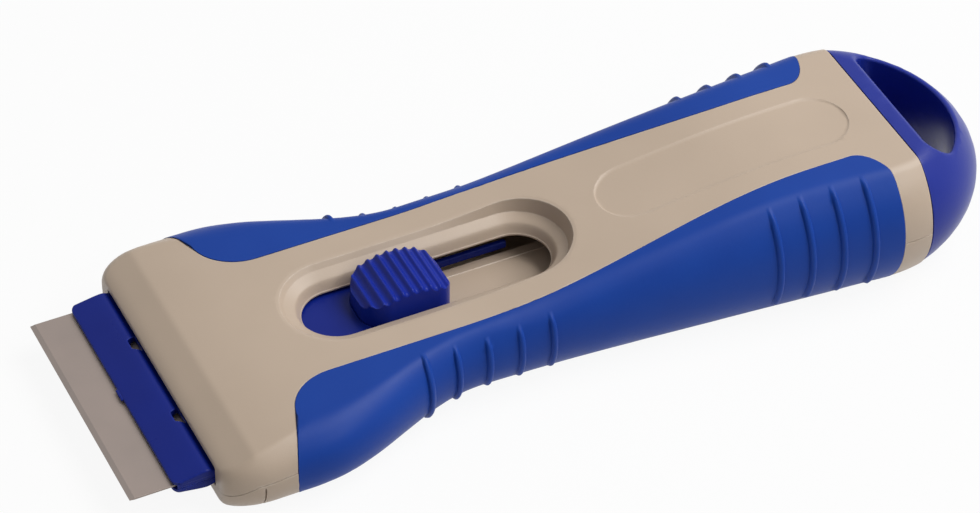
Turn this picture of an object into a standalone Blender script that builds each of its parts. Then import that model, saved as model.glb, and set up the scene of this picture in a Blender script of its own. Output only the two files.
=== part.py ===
"""Glass scraper with a sliding single-edge blade, soft grips and spare blades in the handle.

Units are metres. In the tool's own frame X runs from the blade to the tail, Y across the tool and Z up,
with X = 0 at the mouth of the casing and Z = 0 at the middle plane of the blade. One empty carries the
whole tool, and puts the middle of its box's underside at the world's origin.
"""

import math

import bmesh
import bpy
from mathutils import Matrix, Vector

# Clearances
GAP = 0.0003
PARTING_GAP = 0.0002
OVERRUN = 0.002
TRIM = 0.0001
WELD = 0.000003

# Blade
BLADE_WIDTH = 0.0395
BLADE_DEPTH = 0.0185
BLADE_THICKNESS = 0.0003
BLADE_BEVEL = 0.001
BLADE_EDGE = 0.00006
BLADE_REACH = 0.0125

# Blade holder
JAW_REACH = 0.0062
JAW_SIDE = 0.00025
JAW_LIP = 0.0006
JAW_EDGE = 0.0004
JAW_SLOPE_BACK = 0.001
JAW_THICKNESS = 0.0011
JAW_CORNER = 0.0014
BACK_WALL = 0.0012
NIB_WIDTH = 0.0029
NIB_REACH = 0.0006
WINDOW_SPREAD = 0.0083
WINDOW_WIDTH = 0.0034
WINDOW_DEPTH = 0.0014
WINDOW_TAPER = 0.0007
TONGUE_HALF_WIDTH = 0.0058
PIN_RADIUS = 0.0006
PIN_BACK = 0.0035
PIN_LIFT = 0.0002
BARREL_WALL = 0.0004
LUG_WIDTH = 0.0009

# Slide behind the holder
SLIDE_TOP = 0.0021
SLIDE_BOTTOM = -0.0015
SLIDE_HALF_WIDTH = 0.0074
ARM_WIDTH = 0.0029
ARM_DROP = 0.0017
ARM_STEP = 0.0003
ARM_CORNER = 0.0007
ARM_END = 0.062
SLIDE_CORNER = 0.0007
TRAVEL_FORWARD = 0.0055
TRAVEL_BACK = 0.0155

# Knob
KNOB_FRONT = 0.0309
KNOB_LENGTH = 0.0141
KNOB_HALF_WIDTH = 0.005
KNOB_CORNER = 0.0028
KNOB_BROW = 0.0029
KNOB_CROWN = 0.0079
KNOB_CROWN_BACK = 0.0081
KNOB_HEEL = 0.0072
KNOB_HOLLOW_TOP = 0.0041
KNOB_WALL = 0.0016
KNOB_PRESS = 0.0008
FLANGE_SINK = 0.0001
FLANGE_THICKNESS = 0.0011
FLANGE_SIDE = 0.0014
RIDGE_PITCH = 0.0014
RIDGE_HEIGHT = 0.00045
RIDGE_MARGIN = 0.0007
KNOB_SPRING_THICKNESS = 0.0003
KNOB_SPRING_WIDTH = 0.004

# Casing outline
MOUTH_WALL = 0.0022
PADDLE_SWELL = 0.004
WAIST_ROOM = 0.0051
TAIL_RADIUS = 0.0206
CORNER_LENGTH = 0.0075
PADDLE_END = 0.0145
WAIST_START = 0.046
WAIST_END = 0.057
TAIL_LEAD = 0.0044
FLARE_POWER = 1.4

# Casing heights
MOUTH_TOP = 0.0028
CREASE_LENGTH = 0.005
CREASE_TOP = 0.005
DECK_TOP = 0.006
DECK_START = 0.0175
RISE_START = 0.042
RISE_END = 0.103
TAIL_TOP = 0.0114
NOSE_DEPTH = 0.0032
NOSE_LENGTH = 0.003
BELLY_FRONT_DEPTH = 0.0052
BELLY_TAIL_DEPTH = 0.009
SIDE_RADIUS_FRONT = 0.0058
SIDE_RADIUS_TAIL = 0.013
SHOULDER_RADIUS_FRONT = 0.002
SHOULDER_RADIUS_WAIST = 0.0042
SHOULDER_RADIUS_TAIL = 0.0028
SIDE_MIDDLE_FRONT = 0.0004
SIDE_MIDDLE_TAIL = 0.0013
PARTING_FRONT = -0.0017
PARTING_TAIL = 0.001

# Casing walls and inside
WALL = 0.0012
FRONT_WALL = 0.002
CHANNEL_CLEARANCE = 0.0006
CHANNEL_END_CLEARANCE = 0.0005
CHANNEL_CORNER = 0.0008

# Slot and its stepped dish
RIM_THICKNESS = 0.0012
DISH_LEDGE_HEIGHT = 0.0009
DISH_LEDGE_WIDTH = 0.001
DISH_WALL_SLOPE = 0.0008
DISH_WALL_FOOT = 0.0003
RIM_SLOPE = 0.0004
DISH_WIDTH = 0.003
DISH_SKIRT = 0.0013
RACK_DEPTH = 0.0002
RACK_PITCH = 0.0025
RACK_WIDTH = 0.0013

# Label recess
LABEL_START = 0.071
LABEL_TAIL_MARGIN = 0.0049
LABEL_HALF_WIDTH = 0.0057
LABEL_DEPTH = 0.00035

# Grips
GRIP_THICKNESS = 0.0011
GRIP_PROUD = 0.0001
GRIP_START = 0.0133
GRIP_CORNER_LENGTH = 0.0077
GRIP_WRAP_FRONT = 0.0044
GRIP_WRAP_TAIL = 0.0112
GRIP_WRAP_UNDER = 0.0044
GRIP_EDGE_TURN_START = 0.05
GRIP_EDGE_TURN_END = 0.1
GRIP_LEAN = 0.0019
GRIP_LEAN_LENGTH = 0.022
GRIP_TAIL_MARGIN = 0.0051
GRIP_END_CORNER_LENGTH = 0.005
GRIP_END_INSET = 0.004
GRIP_FRONT_INSET = 0.0063
RIB_FIRST_FRONT = 0.0342
RIB_TAIL_MARGIN = 0.0051
RIB_PITCH = 0.0052
RIB_WIDTH = 0.0016
RIB_CREST = 0.0008
RIB_HEIGHT = 0.0006
RIB_END_DISTANCE = 0.0038
RIB_FADE_RATE = 3.0

# Screws
SCREW_REAR = 0.072
SCREW_RADIUS = 0.0009
SCREW_HEAD_RADIUS = 0.0018
SCREW_HEAD_HEIGHT = 0.0013
SCREW_HEAD_CHAMFER = 0.0005
SCREW_SINK = 0.0021
SCREW_GRIP_LENGTH = 0.0036
SCREW_SLOT = 0.0005
SCREW_SLOT_DEPTH = 0.0007
BOSS_WALL = 0.0009
BOSS_FOOT_WALL = 0.0006
BOSS_FLOOR = 0.0012
BOSS_CLEARANCE = 0.0008

# Middle rail and spare blades
RAIL_START = 0.0315
RAIL_END_CLEARANCE = 0.002
SPARE_COUNT = 5
SPARE_CLEARANCE = 0.001
SPARE_END_CLEARANCE = 0.0019
TRAY_RIB = 0.0013
TRAY_END_CLEARANCE = 0.0019
CLIP_WIDTH = 0.006
CLIP_THICKNESS = 0.0003
CLIP_POST = 0.0018
CLIP_REST = 0.002

# Tail cap
CAP_SLEEVE = 0.0105
CAP_WALL = 0.0015
CAP_WEB = 0.0016
CAP_TOP_FALL = 0.0017
CAP_BELLY_RISE = 0.0004
CAP_SHOULDER = 0.0071
CAP_KEEL = 0.005
CAP_SIDE_RADIUS = 0.0103
CAP_SIDE_MIDDLE = 0.0008
CAP_SWEEP = math.radians(100)
SNAP_LENGTH = 0.003
SNAP_HEIGHT = 0.00012
SNAP_WIDTH = 0.0012
CAP_STRIP = 0.0036
HOLE_RADIUS = 0.0164
HOLE_CORNER = 0.0022
HOLE_FLARE = 0.0012

# Facet counts
SIDE_STEPS = 6
CORNER_STEPS = 3
FLAT_STEPS = 2
GRIP_STEPS = 12
GRIP_END_STEPS = 5
FRONT_RIBS = 5
REAR_RIBS = 4
ROUND_STEPS = 24
SMALL_STEPS = 16
BORE_STEPS = 12
LEAF_STEPS = 12
HOLE_CORNER_STEPS = 4
NOSE_SHARES = (0.0, 0.1, 0.25, 0.5, 0.75, 1.0)
FLANK_STATIONS = 14
BACK_STATIONS = 12
CAVITY_STATIONS = 8
SLEEVE_STATIONS = 5
LABEL_STATIONS = 6

# Places that follow from the sizes above
BLADE_HALF = BLADE_THICKNESS / 2
JAW_TOP = BLADE_HALF + GAP
BLADE_BACK = BLADE_DEPTH - BLADE_REACH
BACK_WALL_FRONT = BLADE_BACK + GAP
BACK_WALL_BACK = BACK_WALL_FRONT + BACK_WALL
HOLDER_HALF_WIDTH = BLADE_WIDTH / 2 + JAW_SIDE
CLAMP_TOP = JAW_TOP + JAW_THICKNESS
PIN_X = BACK_WALL_FRONT + PIN_BACK
PIN_Z = JAW_TOP + PIN_LIFT
PIN_BORE_HALF = TONGUE_HALF_WIDTH + GAP + LUG_WIDTH
BARREL_RADIUS = PIN_RADIUS + GAP + BARREL_WALL
KNOB_BACK = KNOB_FRONT + KNOB_LENGTH
KNOB_MIDDLE = KNOB_FRONT + KNOB_LENGTH / 2
FLANGE_HALF_WIDTH = KNOB_HALF_WIDTH + FLANGE_SIDE
FLANGE_TOP = SLIDE_TOP - FLANGE_SINK
FLANGE_BOTTOM = FLANGE_TOP - FLANGE_THICKNESS
POCKET_FLOOR = FLANGE_BOTTOM - KNOB_PRESS - GAP
SLIDE_START = PIN_X + BARREL_RADIUS + GAP
SLIDE_END = KNOB_BACK + GAP + KNOB_WALL
ARM_BOTTOM = SLIDE_BOTTOM - ARM_DROP
ARM_TOP = SLIDE_TOP - ARM_STEP
RAIL_HALF_WIDTH = SLIDE_HALF_WIDTH - ARM_WIDTH - GAP
RAIL_TOP = SLIDE_BOTTOM - GAP
SLOT_RADIUS = KNOB_HALF_WIDTH + GAP
SLOT_FRONT = KNOB_FRONT - TRAVEL_FORWARD + KNOB_CORNER + GAP
SLOT_BACK = KNOB_BACK + TRAVEL_BACK - KNOB_CORNER - GAP
RIM_BOTTOM = SLIDE_TOP + GAP + RACK_DEPTH
RIM_TOP = RIM_BOTTOM + RIM_THICKNESS
DISH_RADIUS = SLOT_RADIUS + DISH_WIDTH
CHANNEL_TOP = CLAMP_TOP + GAP
CHANNEL_BOTTOM = -CLAMP_TOP - GAP
CHANNEL_HALF_WIDTH = HOLDER_HALF_WIDTH + CHANNEL_CLEARANCE
CHANNEL_LENGTH = BACK_WALL_BACK + TRAVEL_BACK + CHANNEL_END_CLEARANCE
MOUTH_HALF_WIDTH = CHANNEL_HALF_WIDTH + MOUTH_WALL
PADDLE_HALF_WIDTH = MOUTH_HALF_WIDTH + PADDLE_SWELL
RECESS_DEPTH = GRIP_THICKNESS + GAP
SKIN = RECESS_DEPTH + WALL
ROOT_DEPTH = RECESS_DEPTH + WALL / 2
BOSS_RADIUS = SCREW_RADIUS + GAP + BOSS_WALL
HEAD_BORE_RADIUS = SCREW_HEAD_RADIUS + GAP
BOSS_FOOT_RADIUS = HEAD_BORE_RADIUS + BOSS_FOOT_WALL
SCREW_FRONT = CHANNEL_LENGTH + BOSS_FOOT_RADIUS + BOSS_CLEARANCE
SCREW_SPREAD = SLIDE_HALF_WIDTH + GAP + BOSS_RADIUS
WAIST_HALF_WIDTH = SCREW_SPREAD + BOSS_FOOT_RADIUS + WAIST_ROOM
GRIP_EDGE_FRONT = WAIST_HALF_WIDTH - GRIP_WRAP_FRONT
GRIP_EDGE_TAIL = TAIL_RADIUS - GRIP_WRAP_TAIL
GRIP_EDGE_UNDER = WAIST_HALF_WIDTH - GRIP_WRAP_UNDER
SPARE_START = ARM_END + TRAVEL_BACK + SPARE_CLEARANCE
SPARE_PITCH = BLADE_THICKNESS + GAP
CAP_ROOM_END = SPARE_START + BLADE_WIDTH + SPARE_END_CLEARANCE
HOLE_CHORD = CAP_ROOM_END + CAP_WEB
JOINT = HOLE_CHORD - CAP_STRIP
CAP_FRONT = JOINT + GAP
TAIL_CENTRE = JOINT - TAIL_LEAD
LABEL_LENGTH = JOINT - LABEL_TAIL_MARGIN - LABEL_START
GRIP_END = JOINT - GRIP_TAIL_MARGIN
RIB_FIRST_REAR = GRIP_END - RIB_TAIL_MARGIN - (REAR_RIBS - 1) * RIB_PITCH
TRAY_END = JOINT - CAP_SLEEVE - TRAY_END_CLEARANCE
CLIP_POSITION = (SPARE_START + TRAY_END) / 2
RAIL_END = SPARE_START - RAIL_END_CLEARANCE
SPARE_SHELF = -BELLY_TAIL_DEPTH + SKIN + GAP + CAP_WALL + GAP
SPARE_TOP = SPARE_SHELF + GAP + (SPARE_COUNT - 1) * SPARE_PITCH + BLADE_THICKNESS
TRAY_INNER = BLADE_DEPTH / 2 + GAP
TRAY_OUTER = TRAY_INNER + TRAY_RIB
TRAY_TOP = SPARE_TOP + GAP + CLIP_THICKNESS
TAIL_END = TAIL_CENTRE + TAIL_RADIUS
TOOL_MIDDLE = (TAIL_END - BLADE_REACH) / 2


def ease(start, end, x):
    """Share from 0 to 1 that leaves start and reaches end level."""
    t = min(max((x - start) / (end - start), 0.0), 1.0)
    return t * t * (3 - 2 * t)


def mix(a, b, share):
    return a + (b - a) * share


def quarter(share):
    """Height of a quarter round of unit radius, at a share of its base."""
    s = min(max(share, 0.0), 1.0)
    return math.sqrt(max(1 - (1 - s) ** 2, 0.0))


def half_width(x):
    """Half the casing's width at station x."""
    if x < PADDLE_END:
        return mix(MOUTH_HALF_WIDTH, PADDLE_HALF_WIDTH, quarter(x / CORNER_LENGTH))
    if x < WAIST_END:
        return mix(PADDLE_HALF_WIDTH, WAIST_HALF_WIDTH, ease(PADDLE_END, WAIST_START, x))
    if x < TAIL_CENTRE:
        share = (x - WAIST_END) / (TAIL_CENTRE - WAIST_END)
        return mix(WAIST_HALF_WIDTH, TAIL_RADIUS, share**FLARE_POWER)
    return math.sqrt(max(TAIL_RADIUS**2 - (x - TAIL_CENTRE) ** 2, 0.0))


def top(x):
    """Height of the casing's deck at station x: a front slope, a low crown and the rise to the tail."""
    if x < CREASE_LENGTH:
        return mix(MOUTH_TOP, CREASE_TOP, x / CREASE_LENGTH)
    if x < DECK_START:
        return mix(DECK_TOP, CREASE_TOP, ((DECK_START - x) / (DECK_START - CREASE_LENGTH)) ** 2)
    return mix(DECK_TOP, TAIL_TOP, ease(RISE_START, RISE_END, x))


def belly(x):
    """Height of the flat underside, a plane that drops evenly from the nose to the joint."""
    share = (x - NOSE_LENGTH) / (JOINT - NOSE_LENGTH)
    return -mix(BELLY_FRONT_DEPTH, BELLY_TAIL_DEPTH, min(share, 1.0))


def bottom(x):
    """Height of the casing's underside, with the rounded nose."""
    if x < NOSE_LENGTH:
        return mix(-NOSE_DEPTH, belly(NOSE_LENGTH), quarter(x / NOSE_LENGTH))
    return belly(x)


def parting(x):
    """Height of the plane that parts the two shells."""
    return mix(PARTING_FRONT, PARTING_TAIL, x / JOINT)


def section_line(outer, high, low, radius, shoulder, keel, middle):
    """Points (y, z) of half a cross-section, from the middle of the top to the middle of the underside.

    The side is an arc about the given middle height. A shoulder and a keel round it into the flats.
    """
    limit = (high - low) / 2 - GAP
    centre = outer - radius

    def round_off(height, corner):
        """Where the arc of a corner meets the flat, and the angle at which it meets the side."""
        inner = radius - corner
        rise = min(height - corner, inner)
        return centre + math.sqrt(inner**2 - rise**2), math.atan2(rise, math.sqrt(inner**2 - rise**2))

    shoulder = min(shoulder, limit, radius - GAP)
    keel = min(keel, limit, radius - GAP)
    top_y, top_angle = round_off(high - middle, shoulder)
    low_y, low_angle = round_off(middle - low, keel)
    points = [(top_y * i / FLAT_STEPS, high) for i in range(FLAT_STEPS)]
    for i in range(CORNER_STEPS):
        angle = mix(math.pi / 2, top_angle, i / CORNER_STEPS)
        points.append((top_y + shoulder * math.cos(angle), high - shoulder + shoulder * math.sin(angle)))
    for i in range(SIDE_STEPS):
        angle = mix(top_angle, -low_angle, i / SIDE_STEPS)
        points.append((centre + radius * math.cos(angle), middle + radius * math.sin(angle)))
    for i in range(CORNER_STEPS):
        angle = mix(-low_angle, -math.pi / 2, i / CORNER_STEPS)
        points.append((low_y + keel * math.cos(angle), low + keel + keel * math.sin(angle)))
    return points + [(low_y * (1 - i / FLAT_STEPS), low) for i in range(FLAT_STEPS + 1)]


def half_section(x, inset=0.0, widest=PADDLE_HALF_WIDTH):
    """Points (y, z) of the +Y half of the casing's cross-section at station x."""
    share = ease(GRIP_START, RISE_END, x)
    radius = mix(SIDE_RADIUS_FRONT, SIDE_RADIUS_TAIL, share)
    shoulder = mix(SHOULDER_RADIUS_FRONT, SHOULDER_RADIUS_WAIST, ease(RISE_START, WAIST_END, x))
    shoulder = mix(shoulder, SHOULDER_RADIUS_TAIL, ease(WAIST_END, RISE_END, x))
    keel = mix(SHOULDER_RADIUS_FRONT, SHOULDER_RADIUS_TAIL, share)
    middle = mix(SIDE_MIDDLE_FRONT, SIDE_MIDDLE_TAIL, share)
    outer = min(half_width(x), widest) - inset
    return section_line(outer, top(x) - inset, bottom(x) + inset, radius, shoulder, keel, middle)


def full_section(x, inset=0.0, widest=PADDLE_HALF_WIDTH):
    """Ring of points round the whole cross-section at station x."""
    right = half_section(x, inset, widest)
    left = [(-y, z) for y, z in reversed(right[1:-1])]
    return [Vector((x, y, z)) for y, z in right + left]


def spread(start, end, count):
    """Evenly spaced values from start to end, both included."""
    return [mix(start, end, i / (count - 1)) for i in range(count)]


def ring_edges(bm, points):
    verts = [bm.verts.new(p) for p in points]
    return [bm.edges.new((verts[i - 1], verts[i])) for i in range(len(verts))]


def loft(rings):
    """A closed mesh through rings of points that match one another."""
    bm = bmesh.new()
    loops = [ring_edges(bm, ring) for ring in rings]
    for first, second in zip(loops, loops[1:]):
        bmesh.ops.bridge_loops(bm, edges=first + second)
    for end in (loops[0], loops[-1]):
        bmesh.ops.contextual_create(bm, geom=end)
    bmesh.ops.recalc_face_normals(bm, faces=bm.faces)
    return bm


def prism(outline, axis, low, high):
    """An outline of (u, v) points drawn out between two levels of an axis, X, Y or Z."""

    def place(u, v, level):
        return {"X": (level, u, v), "Y": (u, level, v), "Z": (u, v, level)}[axis]

    return loft([[Vector(place(u, v, level)) for u, v in outline] for level in (low, high)])


def block(x0, x1, y0, y1, z0, z1):
    return prism([(x0, y0), (x1, y0), (x1, y1), (x0, y1)], "Z", z0, z1)


def rounded_block(x0, x1, half, z0, z1, corner, steps=4):
    """A block across the tool whose upright corners are round."""
    outline = []
    for cx, cy, turn in (
        (x1 - corner, half - corner, 0),
        (x0 + corner, half - corner, 1),
        (x0 + corner, corner - half, 2),
        (x1 - corner, corner - half, 3),
    ):
        for i in range(steps + 1):
            angle = math.pi / 2 * (turn + i / steps)
            outline.append((cx + corner * math.cos(angle), cy + corner * math.sin(angle)))
    return prism(outline, "Z", z0, z1)


def stadium(front, back, radius, steps=ROUND_STEPS // 2):
    """Outline of a slot between two arc centres on the tool's middle line."""
    outline = []
    for centre, start in ((back, -math.pi / 2), (front, math.pi / 2)):
        for i in range(steps + 1):
            angle = start + math.pi * i / steps
            outline.append((centre + radius * math.cos(angle), radius * math.sin(angle)))
    return outline


def turned(profile, x, y, steps=ROUND_STEPS):
    """A solid turned about an upright line from (radius, z) points between its two poles."""
    bm = bmesh.new()
    verts = [bm.verts.new((x + r, y, z)) for r, z in profile]
    edges = [bm.edges.new(pair) for pair in zip(verts, verts[1:])]
    bmesh.ops.spin(
        bm,
        geom=verts + edges,
        cent=(x, y, 0),
        axis=(0, 0, 1),
        angle=2 * math.pi,
        steps=steps,
        use_merge=True,
    )
    bmesh.ops.remove_doubles(bm, verts=bm.verts, dist=WELD)
    bmesh.ops.recalc_face_normals(bm, faces=bm.faces)
    return bm


def rod(x, y, radius, z0, z1, steps=SMALL_STEPS):
    return turned([(0, z1), (radius, z1), (radius, z0), (0, z0)], x, y, steps)


def cross_rod(x, z, radius, half, steps=SMALL_STEPS):
    """A round bar that lies across the tool."""
    angles = [2 * math.pi * i / steps for i in range(steps)]
    circle = [(x + radius * math.cos(a), z + radius * math.sin(a)) for a in angles]
    return prism(circle, "Y", -half, half)


def joined(parts):
    """One bmesh that holds the given ones as separate bodies."""
    bm = bmesh.new()
    for part in parts:
        mesh = bpy.data.meshes.new("part")
        part.to_mesh(mesh)
        part.free()
        bm.from_mesh(mesh)
        bpy.data.meshes.remove(mesh)
    return bm


def plastic(name, colour, roughness, metallic=0.0):
    material = bpy.data.materials.new(name)
    material.use_nodes = True
    shader = material.node_tree.nodes["Principled BSDF"]
    shader.inputs["Base Color"].default_value = (*colour, 1)
    shader.inputs["Roughness"].default_value = roughness
    shader.inputs["Metallic"].default_value = metallic
    material.diffuse_color = (*colour, 1)
    return material


def place(name, bm, material, parent, origin=(0, 0, 0)):
    """Makes the named object, with its origin at a point of its parent's frame."""
    bmesh.ops.transform(bm, matrix=Matrix.Translation(-Vector(origin)), verts=bm.verts)
    mesh = bpy.data.meshes.new(name)
    bm.to_mesh(mesh)
    bm.free()
    obj = bpy.data.objects.new(name, mesh)
    bpy.context.scene.collection.objects.link(obj)
    obj.parent = parent
    obj.location = origin
    mesh.materials.append(material)
    return obj


def shape(target, name, bm, operation):
    """Cuts from an object, adds to it or keeps what lies in the given mesh, with a hidden helper."""
    helper = place(target.name + "_" + name, bm, target.data.materials[0], target.parent)
    helper.hide_render = True
    helper.display_type = "WIRE"
    modifier = target.modifiers.new(name, "BOOLEAN")
    modifier.operation = operation
    modifier.solver = "EXACT"
    modifier.object = helper
    return helper


def cut(target, name, bm):
    return shape(target, name, bm, "DIFFERENCE")


def add(target, name, bm):
    return shape(target, name, bm, "UNION")


def keep(target, name, bm):
    return shape(target, name, bm, "INTERSECT")


def soften(obj, angle=math.radians(35)):
    """Shades an object smooth, apart from its sharp edges."""
    obj.data.shade_smooth()
    obj.data.set_sharp_from_angle(angle=angle)


def empty(name, location, parent=None):
    obj = bpy.data.objects.new(name, None)
    bpy.context.scene.collection.objects.link(obj)
    obj.location = location
    obj.parent = parent
    return obj


# Casing

def body_stations():
    """Stations of the casing, closest together where its outline turns fastest."""
    nose = [CREASE_LENGTH * share for share in NOSE_SHARES]
    flank = spread(CREASE_LENGTH, WAIST_START, FLANK_STATIONS)[1:]
    return nose + flank + spread(WAIST_START, JOINT, BACK_STATIONS)[1:]


def body_solid():
    return loft([full_section(x) for x in body_stations()])


def sleeve_stations():
    """Stations of the cap's sleeve, which the inside of the casing follows too."""
    return spread(JOINT - CAP_SLEEVE, CAP_FRONT + GAP, SLEEVE_STATIONS)


def body_cavity():
    """Inside of the casing, open at the tail."""
    stations = spread(FRONT_WALL, WAIST_START, BACK_STATIONS)
    stations += spread(WAIST_START, JOINT - CAP_SLEEVE, CAVITY_STATIONS)[1:-1]
    stations += sleeve_stations() + [JOINT + OVERRUN]
    return loft([full_section(x, SKIN) for x in stations])


def mouth_channel():
    """Flat passage for the blade holder, through the front wall."""
    outline = []
    for cy, cz, turn in (
        (CHANNEL_HALF_WIDTH, CHANNEL_TOP, 0),
        (-CHANNEL_HALF_WIDTH, CHANNEL_TOP, 1),
        (-CHANNEL_HALF_WIDTH, CHANNEL_BOTTOM, 2),
        (CHANNEL_HALF_WIDTH, CHANNEL_BOTTOM, 3),
    ):
        inward_y = math.copysign(CHANNEL_CORNER, -cy)
        inward_z = math.copysign(CHANNEL_CORNER, -cz)
        for i in range(CORNER_STEPS + 1):
            angle = math.pi / 2 * (turn + i / CORNER_STEPS)
            outline.append(
                (
                    cy + inward_y + CHANNEL_CORNER * math.cos(angle),
                    cz + inward_z + CHANNEL_CORNER * math.sin(angle),
                )
            )
    return prism(outline, "X", -OVERRUN, CHANNEL_LENGTH)


def barrel_room():
    """Room over the clamp's hinge barrel at the front end of the carrier's travel."""
    half = TONGUE_HALF_WIDTH + GAP
    front = PIN_X - TRAVEL_FORWARD - BARREL_RADIUS - GAP
    return block(front, PIN_X, -half, half, PIN_Z, PIN_Z + BARREL_RADIUS + GAP)


def side_of_plane(above):
    """A block that fills one side of the parting plane, less half the parting gap."""
    reach = PADDLE_HALF_WIDTH + OVERRUN
    offset = PARTING_GAP / 2 if above else -PARTING_GAP / 2
    limit = TAIL_TOP + OVERRUN if above else -BELLY_TAIL_DEPTH - OVERRUN
    start = -OVERRUN
    end = JOINT + OVERRUN
    outline = [(start, parting(start) + offset), (end, parting(end) + offset), (end, limit), (start, limit)]
    return prism(outline, "Y", -reach, reach)


def screw_places():
    return [(x, side * SCREW_SPREAD) for x in (SCREW_FRONT, SCREW_REAR) for side in (-1, 1)]


def screw_seat(x):
    """Height of the underside of a screw's head seat."""
    return belly(x) + SCREW_SINK


def screw_length(x):
    """Length of a screw from its seat into the upper shell's boss."""
    return parting(x) - screw_seat(x) + SCREW_GRIP_LENGTH


def dish_skirt():
    """Solid stadium under the deck, with a slanted top, from which the dish is cut."""
    radius = DISH_RADIUS + DISH_SKIRT
    front = SLOT_FRONT - radius
    back = SLOT_BACK + radius
    outline = stadium(SLOT_FRONT, SLOT_BACK, radius)
    lower = [Vector((x, y, RIM_BOTTOM)) for x, y in outline]
    upper = []
    for x, y in outline:
        crest = mix(DECK_TOP, top(back), (x - front) / (back - front))
        upper.append(Vector((x, y, crest - ROOT_DEPTH)))
    return loft([lower, upper])


def dish_cutter():
    """The stepped dish round the slot, as stadium rings from the deck down to the rim."""
    ledge = RIM_TOP + DISH_LEDGE_HEIGHT
    inner = SLOT_RADIUS + DISH_LEDGE_WIDTH
    rings = (
        (DISH_RADIUS, TAIL_TOP + OVERRUN),
        (DISH_RADIUS, DECK_TOP),
        (DISH_RADIUS - DISH_WALL_SLOPE, ledge + DISH_WALL_FOOT),
        (inner, ledge),
        (inner - RIM_SLOPE, RIM_TOP),
    )
    return loft(
        [[Vector((x, y, z)) for x, y in stadium(SLOT_FRONT, SLOT_BACK, radius)] for radius, z in rings]
    )


def rack_teeth(side):
    """Comb of lock teeth under the slot's rim, on one side."""
    count = int((SLOT_BACK - SLOT_FRONT) / RACK_PITCH)
    outline = [(SLOT_FRONT, RIM_BOTTOM + GAP)]
    for i in range(count):
        start = SLOT_FRONT + i * RACK_PITCH
        outline += [(start, RIM_BOTTOM), (start + RACK_PITCH / 2, RIM_BOTTOM - RACK_DEPTH)]
    end = SLOT_FRONT + count * RACK_PITCH
    outline += [(end, RIM_BOTTOM), (end, RIM_BOTTOM + GAP)]
    inner = SLOT_RADIUS + GAP
    low, high = sorted((side * inner, side * (inner + RACK_WIDTH)))
    return prism(outline, "Y", low, high)


def label_cutter():
    """Shallow recess with round ends that follows the deck."""
    rings = []
    centres = (LABEL_START + LABEL_HALF_WIDTH, LABEL_START + LABEL_LENGTH - LABEL_HALF_WIDTH)
    end_angles = [math.pi / 2 * i / CORNER_STEPS for i in range(CORNER_STEPS)]
    front = [centres[0] - LABEL_HALF_WIDTH * math.cos(a) for a in end_angles]
    back = [centres[1] + LABEL_HALF_WIDTH * math.cos(a) for a in reversed(end_angles)]
    for x in front + spread(centres[0], centres[1], LABEL_STATIONS) + back:
        overhang = max(centres[0] - x, x - centres[1], 0.0)
        half = max(math.sqrt(max(LABEL_HALF_WIDTH**2 - overhang**2, 0.0)), GAP)
        low = top(x) - LABEL_DEPTH
        high = top(x) + OVERRUN
        corners = ((-half, low), (half, low), (half, high), (-half, high))
        rings.append([Vector((x, y, z)) for y, z in corners])
    return loft(rings)


def grip_edge(x, margin, under=False):
    """Distance of the grip's upper or lower long edge, grown by a margin, from the middle line."""
    edge = mix(GRIP_EDGE_FRONT, GRIP_EDGE_TAIL, ease(GRIP_EDGE_TURN_START, GRIP_EDGE_TURN_END, x))
    if under:
        edge = GRIP_EDGE_UNDER
    front_tip = half_width(GRIP_START) - GRIP_FRONT_INSET
    back_tip = half_width(GRIP_END) - GRIP_END_INSET
    front_share = 1 - quarter((x - GRIP_START + margin) / (GRIP_CORNER_LENGTH + margin))
    back_share = 1 - quarter((GRIP_END + margin - x) / (GRIP_END_CORNER_LENGTH + margin))
    return mix(mix(edge, front_tip, front_share), back_tip, back_share) - margin


def rib_places():
    front = [RIB_FIRST_FRONT + i * RIB_PITCH for i in range(FRONT_RIBS)]
    return front + [RIB_FIRST_REAR + i * RIB_PITCH for i in range(REAR_RIBS)]


def grip_stations(margin, with_ribs):
    """Stations of a grip or its seat: two rounded ends, the plain stretches and four to each rib."""
    end_shares = [1 - math.cos(math.pi / 2 * i / GRIP_END_STEPS) for i in range(GRIP_END_STEPS)]
    stations = [GRIP_START - margin + (GRIP_CORNER_LENGTH + margin) * share for share in end_shares]
    stations += [GRIP_END + margin - (GRIP_END_CORNER_LENGTH + margin) * share for share in end_shares]
    ribs = rib_places()
    stations += spread(GRIP_START + GRIP_CORNER_LENGTH, ribs[0] - RIB_PITCH / 2, 4)
    stations += spread(ribs[FRONT_RIBS - 1] + RIB_PITCH / 2, ribs[FRONT_RIBS] - RIB_PITCH / 2, 6)
    if with_ribs:
        for rib in ribs:
            stations += [rib - RIB_WIDTH / 2, rib - RIB_CREST / 2, rib + RIB_CREST / 2, rib + RIB_WIDTH / 2]
    else:
        stations += spread(ribs[0], ribs[FRONT_RIBS - 1], FRONT_RIBS)
        stations += spread(ribs[FRONT_RIBS], ribs[-1], REAR_RIBS)
    return sorted(stations)


def rib_rise(x, distance):
    """Height of the ribs over the grip, at a station and a distance from the grip's nearer long edge."""
    nearest = min(abs(x - rib) for rib in rib_places())
    slope = (RIB_WIDTH / 2 - nearest) / (RIB_WIDTH / 2 - RIB_CREST / 2)
    along = (distance - RIB_END_DISTANCE / 2) / (RIB_END_DISTANCE / 2)
    return RIB_HEIGHT * min(max(slope, 0.0), 1.0) * min(max(along, 0.0), 1.0)


def grip_lean(x, share):
    """How far the grip's front reaches forward on the side of the casing, at a share of its girth."""
    fade = 1 - ease(GRIP_START, GRIP_START + GRIP_LEAN_LENGTH, x)
    return GRIP_LEAN * math.sin(math.pi * share) * fade


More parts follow.
